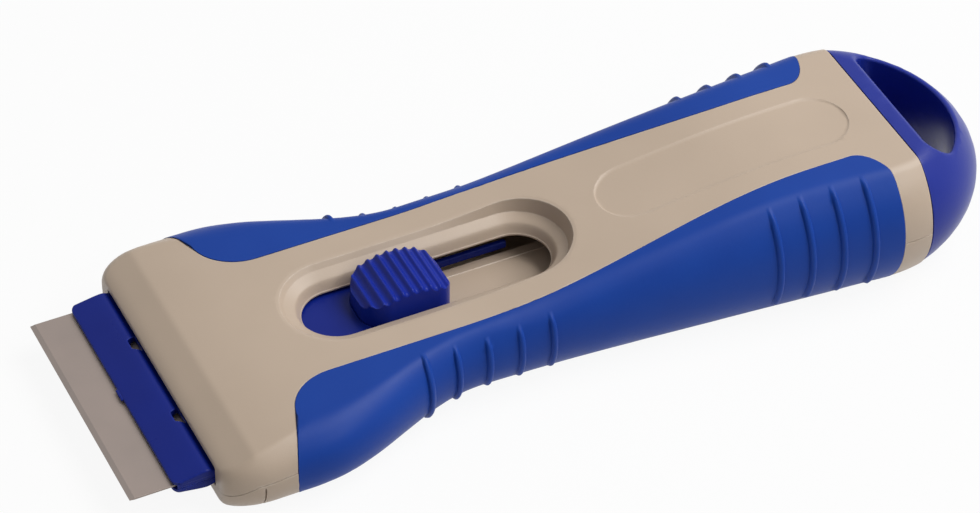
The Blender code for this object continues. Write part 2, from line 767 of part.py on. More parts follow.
def panel_line(x, station, margin, count):
    """Points and outward normals along the casing's side at a station, between the grip's edges at x."""
    section = half_section(station)
    middle = max(range(len(section)), key=lambda i: section[i][0])

    def clip(points, edge):
        """Part of a line from the middle of the tool outwards that lies beyond the edge."""
        kept = [p for p in points if p[0] > edge]
        before = points[len(points) - len(kept) - 1]
        after = kept[0]
        share = (edge - before[0]) / (after[0] - before[0])
        return [(edge, mix(before[1], after[1], share))] + kept

    upper = clip(section[: middle + 1], grip_edge(x, margin))
    lower = clip(section[: middle - 1 : -1], grip_edge(x, margin, under=True))
    path = [Vector(p) for p in upper + lower[::-1][1:]]
    lengths = [0.0]
    for a, b in zip(path, path[1:]):
        lengths.append(lengths[-1] + (b - a).length)
    found = []
    for i in range(count + 1):
        target = lengths[-1] * i / count
        k = max(j for j in range(len(path) - 1) if lengths[j] <= target + WELD)
        share = (target - lengths[k]) / (lengths[k + 1] - lengths[k])
        step = (path[k + 1] - path[k]).normalized()
        distance = min(target, lengths[-1] - target)
        found.append((path[k].lerp(path[k + 1], share), Vector((-step.y, step.x)), distance))
    normals = [found[max(i - 1, 0)][1] + found[min(i + 1, count)][1] for i in range(count + 1)]
    return [(point, normal.normalized(), distance) for (point, _, distance), normal in zip(found, normals)]


def side_panel(side, outside, inside, margin, with_ribs):
    """A curved panel on one side of the casing, from a depth inside it to a height outside it.

    With ribs it is the grip itself, which lies flush on the underside so that the tool rests flat.
    """
    rings = []
    for x in grip_stations(margin, with_ribs):
        outer = []
        inner = []
        for i in range(GRIP_STEPS + 1):
            station = x - grip_lean(x, i / GRIP_STEPS)
            point, normal, distance = panel_line(x, station, margin, GRIP_STEPS)[i]
            rise = outside
            if with_ribs:
                rise = (outside + rib_rise(x, distance)) * min(RIB_FADE_RATE * (1 + normal.y), 1.0)
            high = point + normal * rise
            low = point - normal * inside
            outer.append(Vector((station, side * high.x, high.y)))
            inner.append(Vector((station, side * low.x, low.y)))
        rings.append(outer + inner[::-1])
    return loft(rings)


def build_grip(name, side, material, parent):
    grip = place(name, side_panel(side, GRIP_PROUD, GRIP_THICKNESS, 0.0, True), material, parent)
    soften(grip)
    return grip


def cut_casing(shell):
    """Cuts that both shells share: the inside, the mouth and the seats of the grips."""
    for name, side in (("grip_seat_left", 1), ("grip_seat_right", -1)):
        cut(shell, name, side_panel(side, OVERRUN, RECESS_DEPTH, GAP, False))
    cut(shell, "inside", body_cavity())
    cut(shell, "mouth", mouth_channel())


def build_upper_shell(material, parent):
    shell = place("upper_shell", body_solid(), material, parent)
    keep(shell, "above_parting", side_of_plane(True))
    cut_casing(shell)
    add(shell, "dish_skirt", dish_skirt())
    shell.modifiers["dish_skirt"].solver = "MANIFOLD"
    cut(shell, "dish", dish_cutter())
    slot = prism(stadium(SLOT_FRONT, SLOT_BACK, SLOT_RADIUS), "Z", RIM_BOTTOM - OVERRUN, RIM_TOP + OVERRUN)
    cut(shell, "slot", slot)
    cut(shell, "barrel_room", barrel_room())
    shell.modifiers["barrel_room"].solver = "MANIFOLD"
    for name, side in (("rack_left", 1), ("rack_right", -1)):
        add(shell, name, rack_teeth(side))
    cut(shell, "label", label_cutter())
    bosses = []
    bores = []
    for x, y in screw_places():
        foot = parting(x + BOSS_RADIUS) + PARTING_GAP
        bore_top = screw_seat(x) + screw_length(x) + GAP
        bosses.append(rod(x, y, BOSS_RADIUS, foot, top(x) - ROOT_DEPTH))
        bores.append(rod(x, y, SCREW_RADIUS + GAP, foot - OVERRUN, bore_top, BORE_STEPS))
    add(shell, "bosses", joined(bosses))
    cut(shell, "bores", joined(bores))
    posts = []
    for side in (1, -1):
        middle = side * (TRAY_INNER + TRAY_RIB / 2)
        low = TRAY_TOP + GAP + CLIP_THICKNESS + GAP
        high = top(CLIP_POSITION) - ROOT_DEPTH
        posts.append(rod(CLIP_POSITION, middle, CLIP_POST / 2, low, high, BORE_STEPS))
    add(shell, "clip_posts", joined(posts))
    soften(shell)
    return shell


def build_lower_shell(material, parent):
    shell = place("lower_shell", body_solid(), material, parent)
    keep(shell, "below_parting", side_of_plane(False))
    cut_casing(shell)
    rail = [
        (RAIL_START, belly(RAIL_START) + ROOT_DEPTH),
        (RAIL_END, belly(RAIL_END) + ROOT_DEPTH),
        (RAIL_END, RAIL_TOP),
        (RAIL_START, RAIL_TOP),
    ]
    add(shell, "rail", prism(rail, "Y", -RAIL_HALF_WIDTH, RAIL_HALF_WIDTH))
    shelf = [
        (SPARE_START, belly(SPARE_START) + ROOT_DEPTH),
        (TRAY_END, belly(TRAY_END) + ROOT_DEPTH),
        (TRAY_END, SPARE_SHELF),
        (SPARE_START, SPARE_SHELF),
    ]
    add(shell, "tray_shelf", prism(shelf, "Y", -TRAY_INNER - GAP, TRAY_INNER + GAP))
    for name, side in (("tray_rib_left", 1), ("tray_rib_right", -1)):
        low, high = sorted((side * TRAY_INNER, side * TRAY_OUTER))
        rib = [
            (SPARE_START - TRAY_RIB, belly(SPARE_START) + ROOT_DEPTH),
            (TRAY_END, belly(TRAY_END) + ROOT_DEPTH),
            (TRAY_END, TRAY_TOP),
            (SPARE_START - TRAY_RIB, TRAY_TOP),
        ]
        add(shell, name, prism(rib, "Y", low, high))
    bosses = []
    bores = []
    for x, y in screw_places():
        seat = screw_seat(x)
        crest = parting(x - BOSS_RADIUS) - PARTING_GAP
        step = min(seat + BOSS_FLOOR, crest - TRIM)
        low = belly(x) + ROOT_DEPTH
        boss = [(0, crest), (BOSS_RADIUS, crest), (BOSS_RADIUS, step), (BOSS_FOOT_RADIUS, step)]
        boss += [(BOSS_FOOT_RADIUS, low), (0, low)]
        bosses.append(turned(boss, x, y, SMALL_STEPS))
        high = crest + OVERRUN
        low = -BELLY_TAIL_DEPTH - OVERRUN
        bore = [(0, high), (SCREW_RADIUS + GAP, high), (SCREW_RADIUS + GAP, seat), (HEAD_BORE_RADIUS, seat)]
        bore += [(HEAD_BORE_RADIUS, low), (0, low)]
        bores.append(turned(bore, x, y, BORE_STEPS))
    add(shell, "bosses", joined(bosses))
    cut(shell, "bores", joined(bores))
    soften(shell)
    return shell


def build_screws(material, parent):
    """Four self-tapping screws, each a turned body with a slotted head."""
    screws = []
    for i, (x, y) in enumerate(screw_places()):
        seat = screw_seat(x) - GAP
        tip = seat + screw_length(x)
        head = seat - SCREW_HEAD_HEIGHT
        profile = [
            (0, tip),
            (SCREW_RADIUS, tip - SCREW_RADIUS),
            (SCREW_RADIUS, seat),
            (SCREW_HEAD_RADIUS, seat),
            (SCREW_HEAD_RADIUS, head + SCREW_HEAD_CHAMFER),
            (SCREW_HEAD_RADIUS - SCREW_HEAD_CHAMFER, head),
            (0, head),
        ]
        screw = place(f"shell_screw_{i + 1}", turned(profile, x, y, BORE_STEPS), material, parent)
        half = SCREW_SLOT / 2
        reach = SCREW_HEAD_RADIUS + GAP
        slot = block(x - reach, x + reach, y - half, y + half, head - GAP, head + SCREW_SLOT_DEPTH)
        cut(screw, "driver_slot", slot)
        soften(screw)
        screws.append(screw)
    return screws


# Blade and its holder

def blade_outline(front, back):
    """Blade seen from its side: a ground edge and a flat body."""
    ground = front + BLADE_BEVEL
    tip = BLADE_EDGE / 2
    return [
        (front, -tip),
        (ground, -BLADE_HALF),
        (back, -BLADE_HALF),
        (back, BLADE_HALF),
        (ground, BLADE_HALF),
        (front, tip),
    ]


def build_blade(material, parent):
    outline = blade_outline(-BLADE_REACH, BLADE_BACK)
    half = BLADE_WIDTH / 2
    return place("blade", prism(outline, "Y", -half, half), material, parent)


def build_spare_blades(material, parent):
    """Spare blades on the tray, stacked flat with their edges towards one side."""
    blades = []
    for i in range(SPARE_COUNT):
        level = SPARE_SHELF + GAP + BLADE_HALF + i * SPARE_PITCH
        outline = [
            (y, z + level) for y, z in blade_outline(-BLADE_DEPTH / 2, BLADE_DEPTH / 2)
        ]
        bm = prism(outline, "X", SPARE_START, SPARE_START + BLADE_WIDTH)
        blades.append(place(f"spare_blade_{i + 1}", bm, material, parent))
    return blades


def jaw_corners(back):
    """Plan of a jaw with rounded corners, from its lip to a point behind its back edge."""
    low = -CLAMP_TOP - OVERRUN
    high = CLAMP_TOP + OVERRUN
    return rounded_block(-JAW_REACH - GAP, back + OVERRUN, HOLDER_HALF_WIDTH, low, high, JAW_CORNER)


def build_clamp(material, parent):
    """Upper jaw: a plate that thins towards its lip, a tongue and the hinge barrel."""
    lip = JAW_TOP + JAW_LIP
    reach = HOLDER_HALF_WIDTH + OVERRUN
    outline = [
        (-JAW_REACH, JAW_TOP),
        (BLADE_BACK, JAW_TOP),
        (BLADE_BACK, CLAMP_TOP),
        (JAW_SLOPE_BACK, CLAMP_TOP),
        (-JAW_REACH + JAW_LIP, lip),
        (-JAW_REACH, JAW_TOP + JAW_EDGE),
    ]
    clamp = place("blade_clamp", prism(outline, "Y", -reach, reach), material, parent)
    keep(clamp, "corners", jaw_corners(BLADE_BACK))
    half = TONGUE_HALF_WIDTH
    tongue = block(BLADE_BACK - BACK_WALL, PIN_X, -half, half, JAW_TOP + TRIM, CLAMP_TOP - TRIM)
    add(clamp, "tongue", tongue)
    add(clamp, "barrel", cross_rod(PIN_X, PIN_Z, BARREL_RADIUS, TONGUE_HALF_WIDTH - TRIM))
    cut(clamp, "pin_bore", cross_rod(PIN_X, PIN_Z, PIN_RADIUS + GAP, TONGUE_HALF_WIDTH + OVERRUN))
    nib_start = -JAW_REACH - NIB_REACH
    half = NIB_WIDTH / 2
    add(clamp, "nib", block(nib_start, -JAW_REACH + JAW_LIP, -half, half, JAW_TOP + TRIM, lip - TRIM))
    windows = []
    for side in (1, -1):
        centre = side * WINDOW_SPREAD
        wide = WINDOW_WIDTH / 2
        narrow = wide - WINDOW_TAPER
        points = [
            (-WINDOW_DEPTH, centre - narrow),
            (0, centre - wide),
            (0, centre + wide),
            (-WINDOW_DEPTH, centre + narrow),
        ]
        windows.append(prism(points, "Z", JAW_TOP - OVERRUN, CLAMP_TOP + OVERRUN))
    cut(clamp, "windows", joined(windows))
    soften(clamp)
    return clamp


def build_clamp_pin(material, parent):
    pin = place("clamp_pin", cross_rod(PIN_X, PIN_Z, PIN_RADIUS, PIN_BORE_HALF - GAP), material, parent)
    soften(pin)
    return pin


def build_carrier(material, parent):
    """Lower jaw, back wall, slide with the knob's pocket, and the two rear arms."""
    reach = HOLDER_HALF_WIDTH + OVERRUN
    jaw = [
        (-JAW_REACH, -JAW_TOP),
        (-JAW_REACH, -JAW_TOP - JAW_LIP),
        (-JAW_REACH + BACK_WALL, -CLAMP_TOP),
        (BACK_WALL_BACK, -CLAMP_TOP),
        (BACK_WALL_BACK, CLAMP_TOP),
        (BACK_WALL_FRONT, CLAMP_TOP),
        (BACK_WALL_FRONT, -JAW_TOP),
    ]
    carrier = place("blade_carrier", prism(jaw, "Y", -reach, reach), material, parent)
    keep(carrier, "corners", jaw_corners(BACK_WALL_BACK))
    half = SLIDE_HALF_WIDTH
    floor_top = CLAMP_TOP - TRIM
    floor = rounded_block(BACK_WALL_FRONT + GAP, SLIDE_END, half, SLIDE_BOTTOM, floor_top, SLIDE_CORNER)
    add(carrier, "floor", floor)
    deck = rounded_block(SLIDE_START + TRIM, SLIDE_END - TRIM, half - TRIM, 0, SLIDE_TOP, SLIDE_CORNER)
    add(carrier, "deck", deck)
    arm_start = SLIDE_END - KNOB_WALL / 2
    arm = [
        (arm_start, ARM_BOTTOM),
        (ARM_END - ARM_CORNER, ARM_BOTTOM),
        (ARM_END, ARM_BOTTOM + ARM_CORNER),
        (ARM_END, ARM_TOP - ARM_CORNER),
        (ARM_END - ARM_CORNER, ARM_TOP),
        (arm_start, ARM_TOP),
    ]
    arms = []
    for side in (1, -1):
        low, high = sorted((side * (half - ARM_WIDTH), side * (half - TRIM / 2)))
        arms.append(prism(arm, "Y", low, high))
    add(carrier, "arms", joined(arms))
    room_half = TONGUE_HALF_WIDTH + GAP
    room_floor = PIN_Z - BARREL_RADIUS - GAP
    above = SLIDE_TOP + OVERRUN
    room = block(BACK_WALL_FRONT - GAP, SLIDE_START, -room_half, room_half, room_floor, above)
    cut(carrier, "hinge_room", room)
    cut(carrier, "pin_bore", cross_rod(PIN_X, PIN_Z, PIN_RADIUS + GAP, PIN_BORE_HALF))
    pocket_half = FLANGE_HALF_WIDTH + GAP
    pocket = block(KNOB_FRONT - GAP, KNOB_BACK + GAP, -pocket_half, pocket_half, POCKET_FLOOR, above)
    cut(carrier, "knob_pocket", pocket)
    soften(carrier)
    return carrier


# Knob

def knob_dome(x):
    """Height of the knob's ridge tops at station x: a quarter ellipse up to the crown, then a slow fall."""
    crown = KNOB_FRONT + KNOB_CROWN_BACK
    if x < crown:
        return mix(KNOB_BROW, KNOB_CROWN, quarter((x - KNOB_FRONT) / KNOB_CROWN_BACK))
    return mix(KNOB_CROWN, KNOB_HEEL, ease(crown, 2 * KNOB_BACK - crown, x) * 2)


def knob_outline():
    """Knob seen from its side, with its cross ridges, and drawn out past its brow and heel."""
    start = KNOB_FRONT + RIDGE_MARGIN
    count = int((KNOB_LENGTH - 2 * RIDGE_MARGIN) / RIDGE_PITCH)
    low = FLANGE_TOP - TRIM
    points = [(KNOB_FRONT - OVERRUN, low), (KNOB_FRONT - OVERRUN, KNOB_BROW), (KNOB_FRONT, KNOB_BROW)]
    for i in range(2 * count + 1):
        x = start + i * RIDGE_PITCH / 2
        points.append((x, knob_dome(x) - (0 if i % 2 else RIDGE_HEIGHT)))
    return points + [(KNOB_BACK + OVERRUN, KNOB_HEEL - RIDGE_HEIGHT), (KNOB_BACK + OVERRUN, low)]


def build_knob(material, parent):
    origin = (KNOB_MIDDLE, 0, 0)
    holder = empty("knob_axis", origin, parent)
    reach = KNOB_HALF_WIDTH + OVERRUN
    knob = place("thumb_knob", prism(knob_outline(), "Y", -reach, reach), material, parent)
    above = KNOB_CROWN + OVERRUN
    keep(knob, "plan", rounded_block(KNOB_FRONT, KNOB_BACK, KNOB_HALF_WIDTH, 0, above, KNOB_CORNER))
    half = FLANGE_HALF_WIDTH
    add(knob, "flange", block(KNOB_FRONT + TRIM, KNOB_BACK - TRIM, -half, half, FLANGE_BOTTOM, FLANGE_TOP))
    half = KNOB_HALF_WIDTH - KNOB_WALL
    below = FLANGE_BOTTOM - OVERRUN
    hollow = block(KNOB_FRONT + KNOB_WALL, KNOB_BACK - KNOB_WALL, -half, half, below, KNOB_HOLLOW_TOP)
    cut(knob, "hollow", hollow)
    soften(knob)
    for obj in [knob] + [m.object for m in knob.modifiers]:
        obj.data.transform(Matrix.Translation(-Vector(origin)))
        obj.parent = holder
    return knob


def bowed_strip(start, end, low, rise, thickness, steps):
    """Side view of a bowed leaf: a strip that arches from both ends to its middle."""
    lower = []
    upper = []
    for i in range(steps + 1):
        share = i / steps
        height = low + (rise - thickness) * math.sin(math.pi * share)
        u = mix(start, end, share)
        lower.append((u, height))
        upper.append((u, height + thickness))
    return lower + upper[::-1]


def build_knob_spring(material, parent):
    low = POCKET_FLOOR + GAP
    roof = KNOB_HOLLOW_TOP - GAP
    start = KNOB_FRONT + KNOB_WALL + GAP
    end = KNOB_BACK - KNOB_WALL - GAP
    leaf = bowed_strip(start, end, low, roof - low, KNOB_SPRING_THICKNESS, LEAF_STEPS)
    half = KNOB_SPRING_WIDTH / 2
    spring = place("knob_spring", prism(leaf, "Y", -half, half), material, parent)
    soften(spring)
    return spring


def build_spare_spring(material, parent):
    """Leaf that lies across the tray's ribs and presses on the stack from above."""
    start = -TRAY_OUTER
    flat = TRAY_TOP + GAP
    sag = TRAY_TOP - SPARE_TOP
    upper = []
    lower = []
    for i in range(LEAF_STEPS + 1):
        y = mix(start, -start, i / LEAF_STEPS)
        dip = sag * ease(0, TRAY_OUTER - CLIP_REST, TRAY_OUTER - CLIP_REST - abs(y))
        lower.append((y, flat - dip))
        upper.append((y, flat - dip + CLIP_THICKNESS))
    half = CLIP_WIDTH / 2
    bm = prism(lower + upper[::-1], "X", CLIP_POSITION - half, CLIP_POSITION + half)
    spring = place("spare_blade_spring", bm, material, parent)
    soften(spring)
    return spring


# Tail cap

def cap_share(x):
    """Share of the way from the joint to the end of the tail."""
    return min(max((x - JOINT) / (TAIL_END - JOINT), 0.0), 1.0)


def cap_height(x, z):
    """Height of a point of the cap once its top falls and its underside rises towards the tail."""
    if z > 0:
        return z * (1 - cap_share(x) * CAP_TOP_FALL / TAIL_TOP)
    return z * (1 - cap_share(x) * CAP_BELLY_RISE / BELLY_TAIL_DEPTH)


def cap_ring(angle):
    """Ring of the cap in an upright plane at an angle to the middle line, from its axis outwards."""
    share = cap_share(TAIL_CENTRE + TAIL_RADIUS * math.cos(angle))
    turn = min(2 * share, 1.0)
    line = section_line(
        TAIL_RADIUS,
        TAIL_TOP,
        -BELLY_TAIL_DEPTH,
        mix(SIDE_RADIUS_TAIL, CAP_SIDE_RADIUS, share),
        mix(SHOULDER_RADIUS_TAIL, CAP_SHOULDER, turn),
        mix(SHOULDER_RADIUS_TAIL, CAP_KEEL, turn),
        mix(SIDE_MIDDLE_TAIL, CAP_SIDE_MIDDLE, share),
    )
    ring = []
    for r, z in line:
        x = TAIL_CENTRE + r * math.cos(angle)
        ring.append(Vector((x, r * math.sin(angle), cap_height(x, z))))
    return ring


def hang_hole_ring(grow, z):
    """D-shaped outline of the hang hole, grown outwards by a distance."""
    radius = HOLE_RADIUS + grow
    chord = HOLE_CHORD - grow - TAIL_CENTRE
    corner = HOLE_CORNER + grow
    centre_x = chord + corner
    centre_y = math.sqrt(max((radius - corner) ** 2 - centre_x**2, 0.0))
    meet = math.atan2(centre_y, centre_x)
    outline = []
    for i in range(LEAF_STEPS + 1):
        angle = mix(-meet, meet, i / LEAF_STEPS)
        outline.append((radius * math.cos(angle), radius * math.sin(angle)))
    for i in range(1, HOLE_CORNER_STEPS + 1):
        angle = mix(meet, math.pi, i / HOLE_CORNER_STEPS)
        outline.append((centre_x + corner * math.cos(angle), centre_y + corner * math.sin(angle)))
    for i in range(HOLE_CORNER_STEPS):
        angle = mix(math.pi, 2 * math.pi - meet, i / HOLE_CORNER_STEPS)
        outline.append((centre_x + corner * math.cos(angle), -centre_y + corner * math.sin(angle)))
    return [Vector((TAIL_CENTRE + x, y, cap_height(TAIL_CENTRE + x, z))) for x, y in outline]


def build_tail_cap(material, parent):
    """Round end of the handle with the hang hole, and the sleeve that plugs into the casing."""
    origin = (CAP_FRONT, 0, 0)
    axis = empty("cap_axis", origin, parent)
    bm = loft([cap_ring(angle) for angle in spread(-CAP_SWEEP, CAP_SWEEP, ROUND_STEPS + 1)])
    cut_plane = bmesh.ops.bisect_plane(
        bm,
        geom=bm.verts[:] + bm.edges[:] + bm.faces[:],
        plane_co=(CAP_FRONT, 0, 0),
        plane_no=(-1, 0, 0),
        clear_outer=True,
    )
    rim = [e for e in cut_plane["geom_cut"] if isinstance(e, bmesh.types.BMEdge)]
    bmesh.ops.contextual_create(bm, geom=rim)
    bmesh.ops.recalc_face_normals(bm, faces=bm.faces)
    cap = place("tail_cap", bm, material, parent)
    flare = HOLE_FLARE
    deep = -BELLY_TAIL_DEPTH
    rings = [
        hang_hole_ring(flare, TAIL_TOP + OVERRUN),
        hang_hole_ring(flare, TAIL_TOP),
        hang_hole_ring(0.0, TAIL_TOP - flare),
        hang_hole_ring(0.0, deep + flare),
        hang_hole_ring(flare, deep),
        hang_hole_ring(flare, deep - OVERRUN),
    ]
    start = JOINT - CAP_SLEEVE
    mouth = half_width(CAP_FRONT + GAP)
    add(cap, "sleeve", loft([full_section(x, SKIN + GAP, mouth) for x in sleeve_stations()]))
    snap_x = start + SNAP_LENGTH
    snaps = []
    for side in (1, -1):
        face = min(half_width(snap_x), mouth) - SKIN - GAP
        outline = [
            (snap_x - SNAP_LENGTH / 2, side * (face - CAP_WALL / 2)),
            (snap_x - SNAP_LENGTH / 4, side * (face + SNAP_HEIGHT)),
            (snap_x + SNAP_LENGTH / 4, side * (face + SNAP_HEIGHT)),
            (snap_x + SNAP_LENGTH / 2, side * (face - CAP_WALL / 2)),
        ]
        half = SNAP_WIDTH / 2
        snaps.append(prism(outline, "Z", SIDE_MIDDLE_TAIL - half, SIDE_MIDDLE_TAIL + half))
    add(cap, "snaps", joined(snaps))
    room_inset = SKIN + GAP + CAP_WALL
    room_stations = (start - OVERRUN, JOINT - OVERRUN, CAP_ROOM_END)
    room = loft([full_section(x, room_inset, mouth) for x in room_stations])
    cut(cap, "room", room)
    cut(cap, "hang_hole", loft(rings))
    soften(cap)
    for obj in [cap] + [m.object for m in cap.modifiers]:
        obj.data.transform(Matrix.Translation(-Vector(origin)))
        obj.parent = axis
    return cap


def main():
    for obj in list(bpy.data.objects):
        bpy.data.objects.remove(obj, do_unlink=True)

    beige = plastic("beige_casing", (0.50, 0.41, 0.29), 0.45)
    soft_blue = plastic("soft_blue_grip", (0.013, 0.065, 0.33), 0.55)
    cap_blue = plastic("violet_blue_cap", (0.026, 0.032, 0.36), 0.3)
    slide_blue = plastic("violet_blue_slide", (0.011, 0.018, 0.24), 0.32)
    blade_steel = plastic("blade_steel", (0.32, 0.28, 0.26), 0.4, 1.0)
    spring_steel = plastic("spring_steel", (0.45, 0.45, 0.46), 0.3, 1.0)
    screw_steel = plastic("zinc_screw", (0.5, 0.5, 0.5), 0.35, 1.0)

    tool = empty("scraper_frame", (-TOOL_MIDDLE, 0, BELLY_TAIL_DEPTH))
    slide = empty("slide_axis", (0, 0, 0), tool)

    build_upper_shell(beige, tool)
    build_lower_shell(beige, tool)
    build_grip("grip_left", 1, soft_blue, tool)
    build_grip("grip_right", -1, soft_blue, tool)
    build_screws(screw_steel, tool)
    build_spare_blades(blade_steel, tool)
    build_spare_spring(spring_steel, tool)
    build_tail_cap(cap_blue, tool)

    build_carrier(slide_blue, slide)
    build_clamp(slide_blue, slide)
    build_clamp_pin(spring_steel, slide)
    build_blade(blade_steel, slide)
    build_knob(slide_blue, slide)
    build_knob_spring(spring_steel, slide)


main()
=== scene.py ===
"""Looks of the glass scraper: fine meshes, finishes, floor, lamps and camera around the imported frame.

Every size is in metres and in the tool's own frame: X from the mouth of the casing to the tail, Y across
the tool and Z up from the blade's middle plane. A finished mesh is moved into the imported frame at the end.
"""

import logging
import math
from dataclasses import dataclass, field, replace
from enum import Enum
from typing import Callable, Iterable, Sequence

import bmesh
import bpy
from bmesh.types import BMEdge, BMesh
from bpy.types import ID, Material, Node, NodeOutputs, NodeSocket, NodeTree, Object
from mathutils import Matrix, Vector


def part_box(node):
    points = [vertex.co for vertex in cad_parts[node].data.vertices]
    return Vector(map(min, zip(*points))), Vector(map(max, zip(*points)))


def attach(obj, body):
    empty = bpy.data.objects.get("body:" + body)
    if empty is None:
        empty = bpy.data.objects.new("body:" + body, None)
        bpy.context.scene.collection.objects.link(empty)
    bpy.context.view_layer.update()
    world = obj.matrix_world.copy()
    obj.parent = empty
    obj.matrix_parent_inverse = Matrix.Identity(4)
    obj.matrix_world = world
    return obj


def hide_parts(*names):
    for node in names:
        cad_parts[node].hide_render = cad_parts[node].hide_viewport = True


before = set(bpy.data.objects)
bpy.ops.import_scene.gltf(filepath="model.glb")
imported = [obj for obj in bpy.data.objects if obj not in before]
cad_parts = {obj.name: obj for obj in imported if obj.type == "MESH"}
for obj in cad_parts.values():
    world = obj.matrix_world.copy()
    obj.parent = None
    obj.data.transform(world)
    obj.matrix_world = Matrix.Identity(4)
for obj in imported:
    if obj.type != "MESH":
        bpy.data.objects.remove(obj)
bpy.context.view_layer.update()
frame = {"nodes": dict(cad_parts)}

log = logging.getLogger("scraper")

HAIR = 0.000003
CLEAR = 0.00004
GAP = 0.0003
OVERRUN = 0.002
SHARP_TURN = math.radians(30)
FILLET_SHARE = 0.49

Point = tuple[float, float]
Colour = tuple[float, float, float]
Place = tuple[float, ...]
Inputs = dict[str | int, object]


class Side(Enum):
    """A side of the tool, with the sign of its Y."""

    LEFT = 1
    RIGHT = -1


class Lie(Enum):
    """The axis that a flat outline is drawn out along."""

    X = "X"
    Y = "Y"
    Z = "Z"


class Operation(Enum):
    """What a carving does with the mesh that it is given."""

    CUT = "DIFFERENCE"
    JOIN = "UNION"
    KEEP = "INTERSECT"


# Shares and curves


def mix(a: float, b: float, share: float) -> float:
    """Returns the value at a share of the way from a to b."""
    return a + (b - a) * share


def clamp(value: float) -> float:
    """Returns the value held between 0 and 1."""
    return min(max(value, 0.0), 1.0)


def ease(start: float, end: float, x: float) -> float:
    """Share from 0 to 1 that leaves start and reaches end level.

    Args:
        start: where the share is 0.
        end: where the share is 1.
        x: the place that is asked for.

    Returns:
        The share at x.
    """
    t = clamp((x - start) / (end - start))
    return t * t * (3 - 2 * t)


def quarter(share: float) -> float:
    """Returns the height of a quarter round of unit radius, at a share of its base."""
    return math.sqrt(max(1 - (1 - clamp(share)) ** 2, 0.0))


def spread(start: float, end: float, count: int) -> list[float]:
    """Returns evenly spaced values from start to end, both included."""
    return [mix(start, end, i / (count - 1)) for i in range(count)]


def bunched(count: int) -> list[float]:
    """Returns shares from 0 to 1, closest together at 0, as the points of a quarter round lie."""
    return [1 - math.cos(math.pi / 2 * i / count) for i in range(count + 1)]


def across(half: float, end: float, fine: int, coarse: int) -> list[float]:
    """Places across a width, from one side to the other, bunched over the rounding at both ends.

    Args:
        half: half the width.
        end: how long the rounding is.
        fine: pieces of each rounding.
        coarse: places between them, with the first and the last of the roundings.

    Returns:
        The places in order.
    """
    ends = [end * share for share in bunched(fine)]
    middle = spread(-half + end, half - end, coarse)[1:-1]
    return [-half + place for place in ends] + middle + [half - place for place in reversed(ends)]


def mirrored(inner: float, outer: float) -> list[Point]:
    """Returns the spans (low, high) of Y on both sides of the tool, between two distances from its middle."""
    return [(inner, outer), (-outer, -inner)]


def arc(x: float, y: float, radius: float, angles: Iterable[float]) -> list[Point]:
    """Returns the points at the given angles of a circle about (x, y)."""
    return [(x + radius * math.cos(a), y + radius * math.sin(a)) for a in angles]


def corner_arc(x: float, y: float, radius: float, turn: int, steps: int) -> list[Point]:
    """Returns the quarter circle about (x, y) that starts after some quarter turns."""
    return arc(x, y, radius, spread(math.pi / 2 * turn, math.pi / 2 * (turn + 1), steps + 1))


def circle(x: float, y: float, radius: float, steps: int) -> list[Point]:
    """Returns the points once round a circle about (x, y)."""
    return arc(x, y, radius, spread(0, 2 * math.pi, steps + 1)[:-1])


def blurred(curve: Callable[[float], float], x: float, reach: float) -> float:
    """Returns the mean of a curve over a reach on both sides of x, which rounds its corners."""
    return sum(curve(x + reach * step / 3) for step in range(-3, 4)) / 7


def filleted(points: Sequence[Place], radii: Sequence[float], steps: int) -> list[Place]:
    """Rounds the inner corners of an open line.

    Args:
        points: the line's corners, in order.
        radii: how far from each inner corner its rounding starts, one for each.
        steps: how many pieces each rounding has.

    Returns:
        The points of the rounded line.
    """
    corners = [Vector(point) for point in points]
    line = [corners[0]]
    for before, corner, after, radius in zip(corners, corners[1:], corners[2:], radii):
        back, ahead = before - corner, after - corner
        start = corner + back.normalized() * min(radius, back.length * FILLET_SHARE)
        end = corner + ahead.normalized() * min(radius, ahead.length * FILLET_SHARE)
        for i in range(steps + 1):
            t = i / steps
            line.append(start.lerp(corner, t).lerp(corner.lerp(end, t), t))
    return [tuple(point) for point in [*line, corners[-1]]]


# Mesh tools


def ring_edges(bm: BMesh, points: Iterable[Vector]) -> list[BMEdge]:
    """Returns the edges of a closed ring made through the points."""
    verts = [bm.verts.new(p) for p in points]
    return [bm.edges.new((verts[i - 1], verts[i])) for i in range(len(verts))]


def loft(rings: Sequence[Sequence[Vector]], ladder: bool = False) -> BMesh:
    """Bridges matching rings of points into a closed mesh.

    Args:
        rings: rings with as many points as one another, in order.
        ladder: whether the ends are closed by rungs between the two halves of a ring, for bent ends.

    Returns:
        The closed mesh, with its faces pointing out.
    """
    bm = bmesh.new()
    loops = [ring_edges(bm, ring) for ring in rings]
    for first, second in zip(loops, loops[1:]):
        bmesh.ops.bridge_loops(bm, edges=first + second)
    for end in (loops[0], loops[-1]):
        if not ladder:
            bmesh.ops.contextual_create(bm, geom=end)
            continue
        line = [edge.verts[1] for edge in end]
        for i in range(len(line) // 2 - 1):
            bm.faces.new((line[i], line[i + 1], line[-2 - i], line[-1 - i]))
    bmesh.ops.recalc_face_normals(bm, faces=bm.faces)
    return bm


def prism(outline: Sequence[Point], lie: Lie, low: float, high: float) -> BMesh:
    """Draws a flat outline out between two levels of an axis.

    Args:
        outline: points (u, v) of the outline, in the axes that follow the given one.
        lie: the axis that the outline is drawn along.
        low: where the prism starts.
        high: where it ends.

    Returns:
        The closed prism.
    """
    places = {
        Lie.X: lambda u, v, level: (level, u, v),
        Lie.Y: lambda u, v, level: (u, level, v),
        Lie.Z: lambda u, v, level: (u, v, level),
    }
    return loft([[Vector(places[lie](u, v, level)) for u, v in outline] for level in (low, high)])


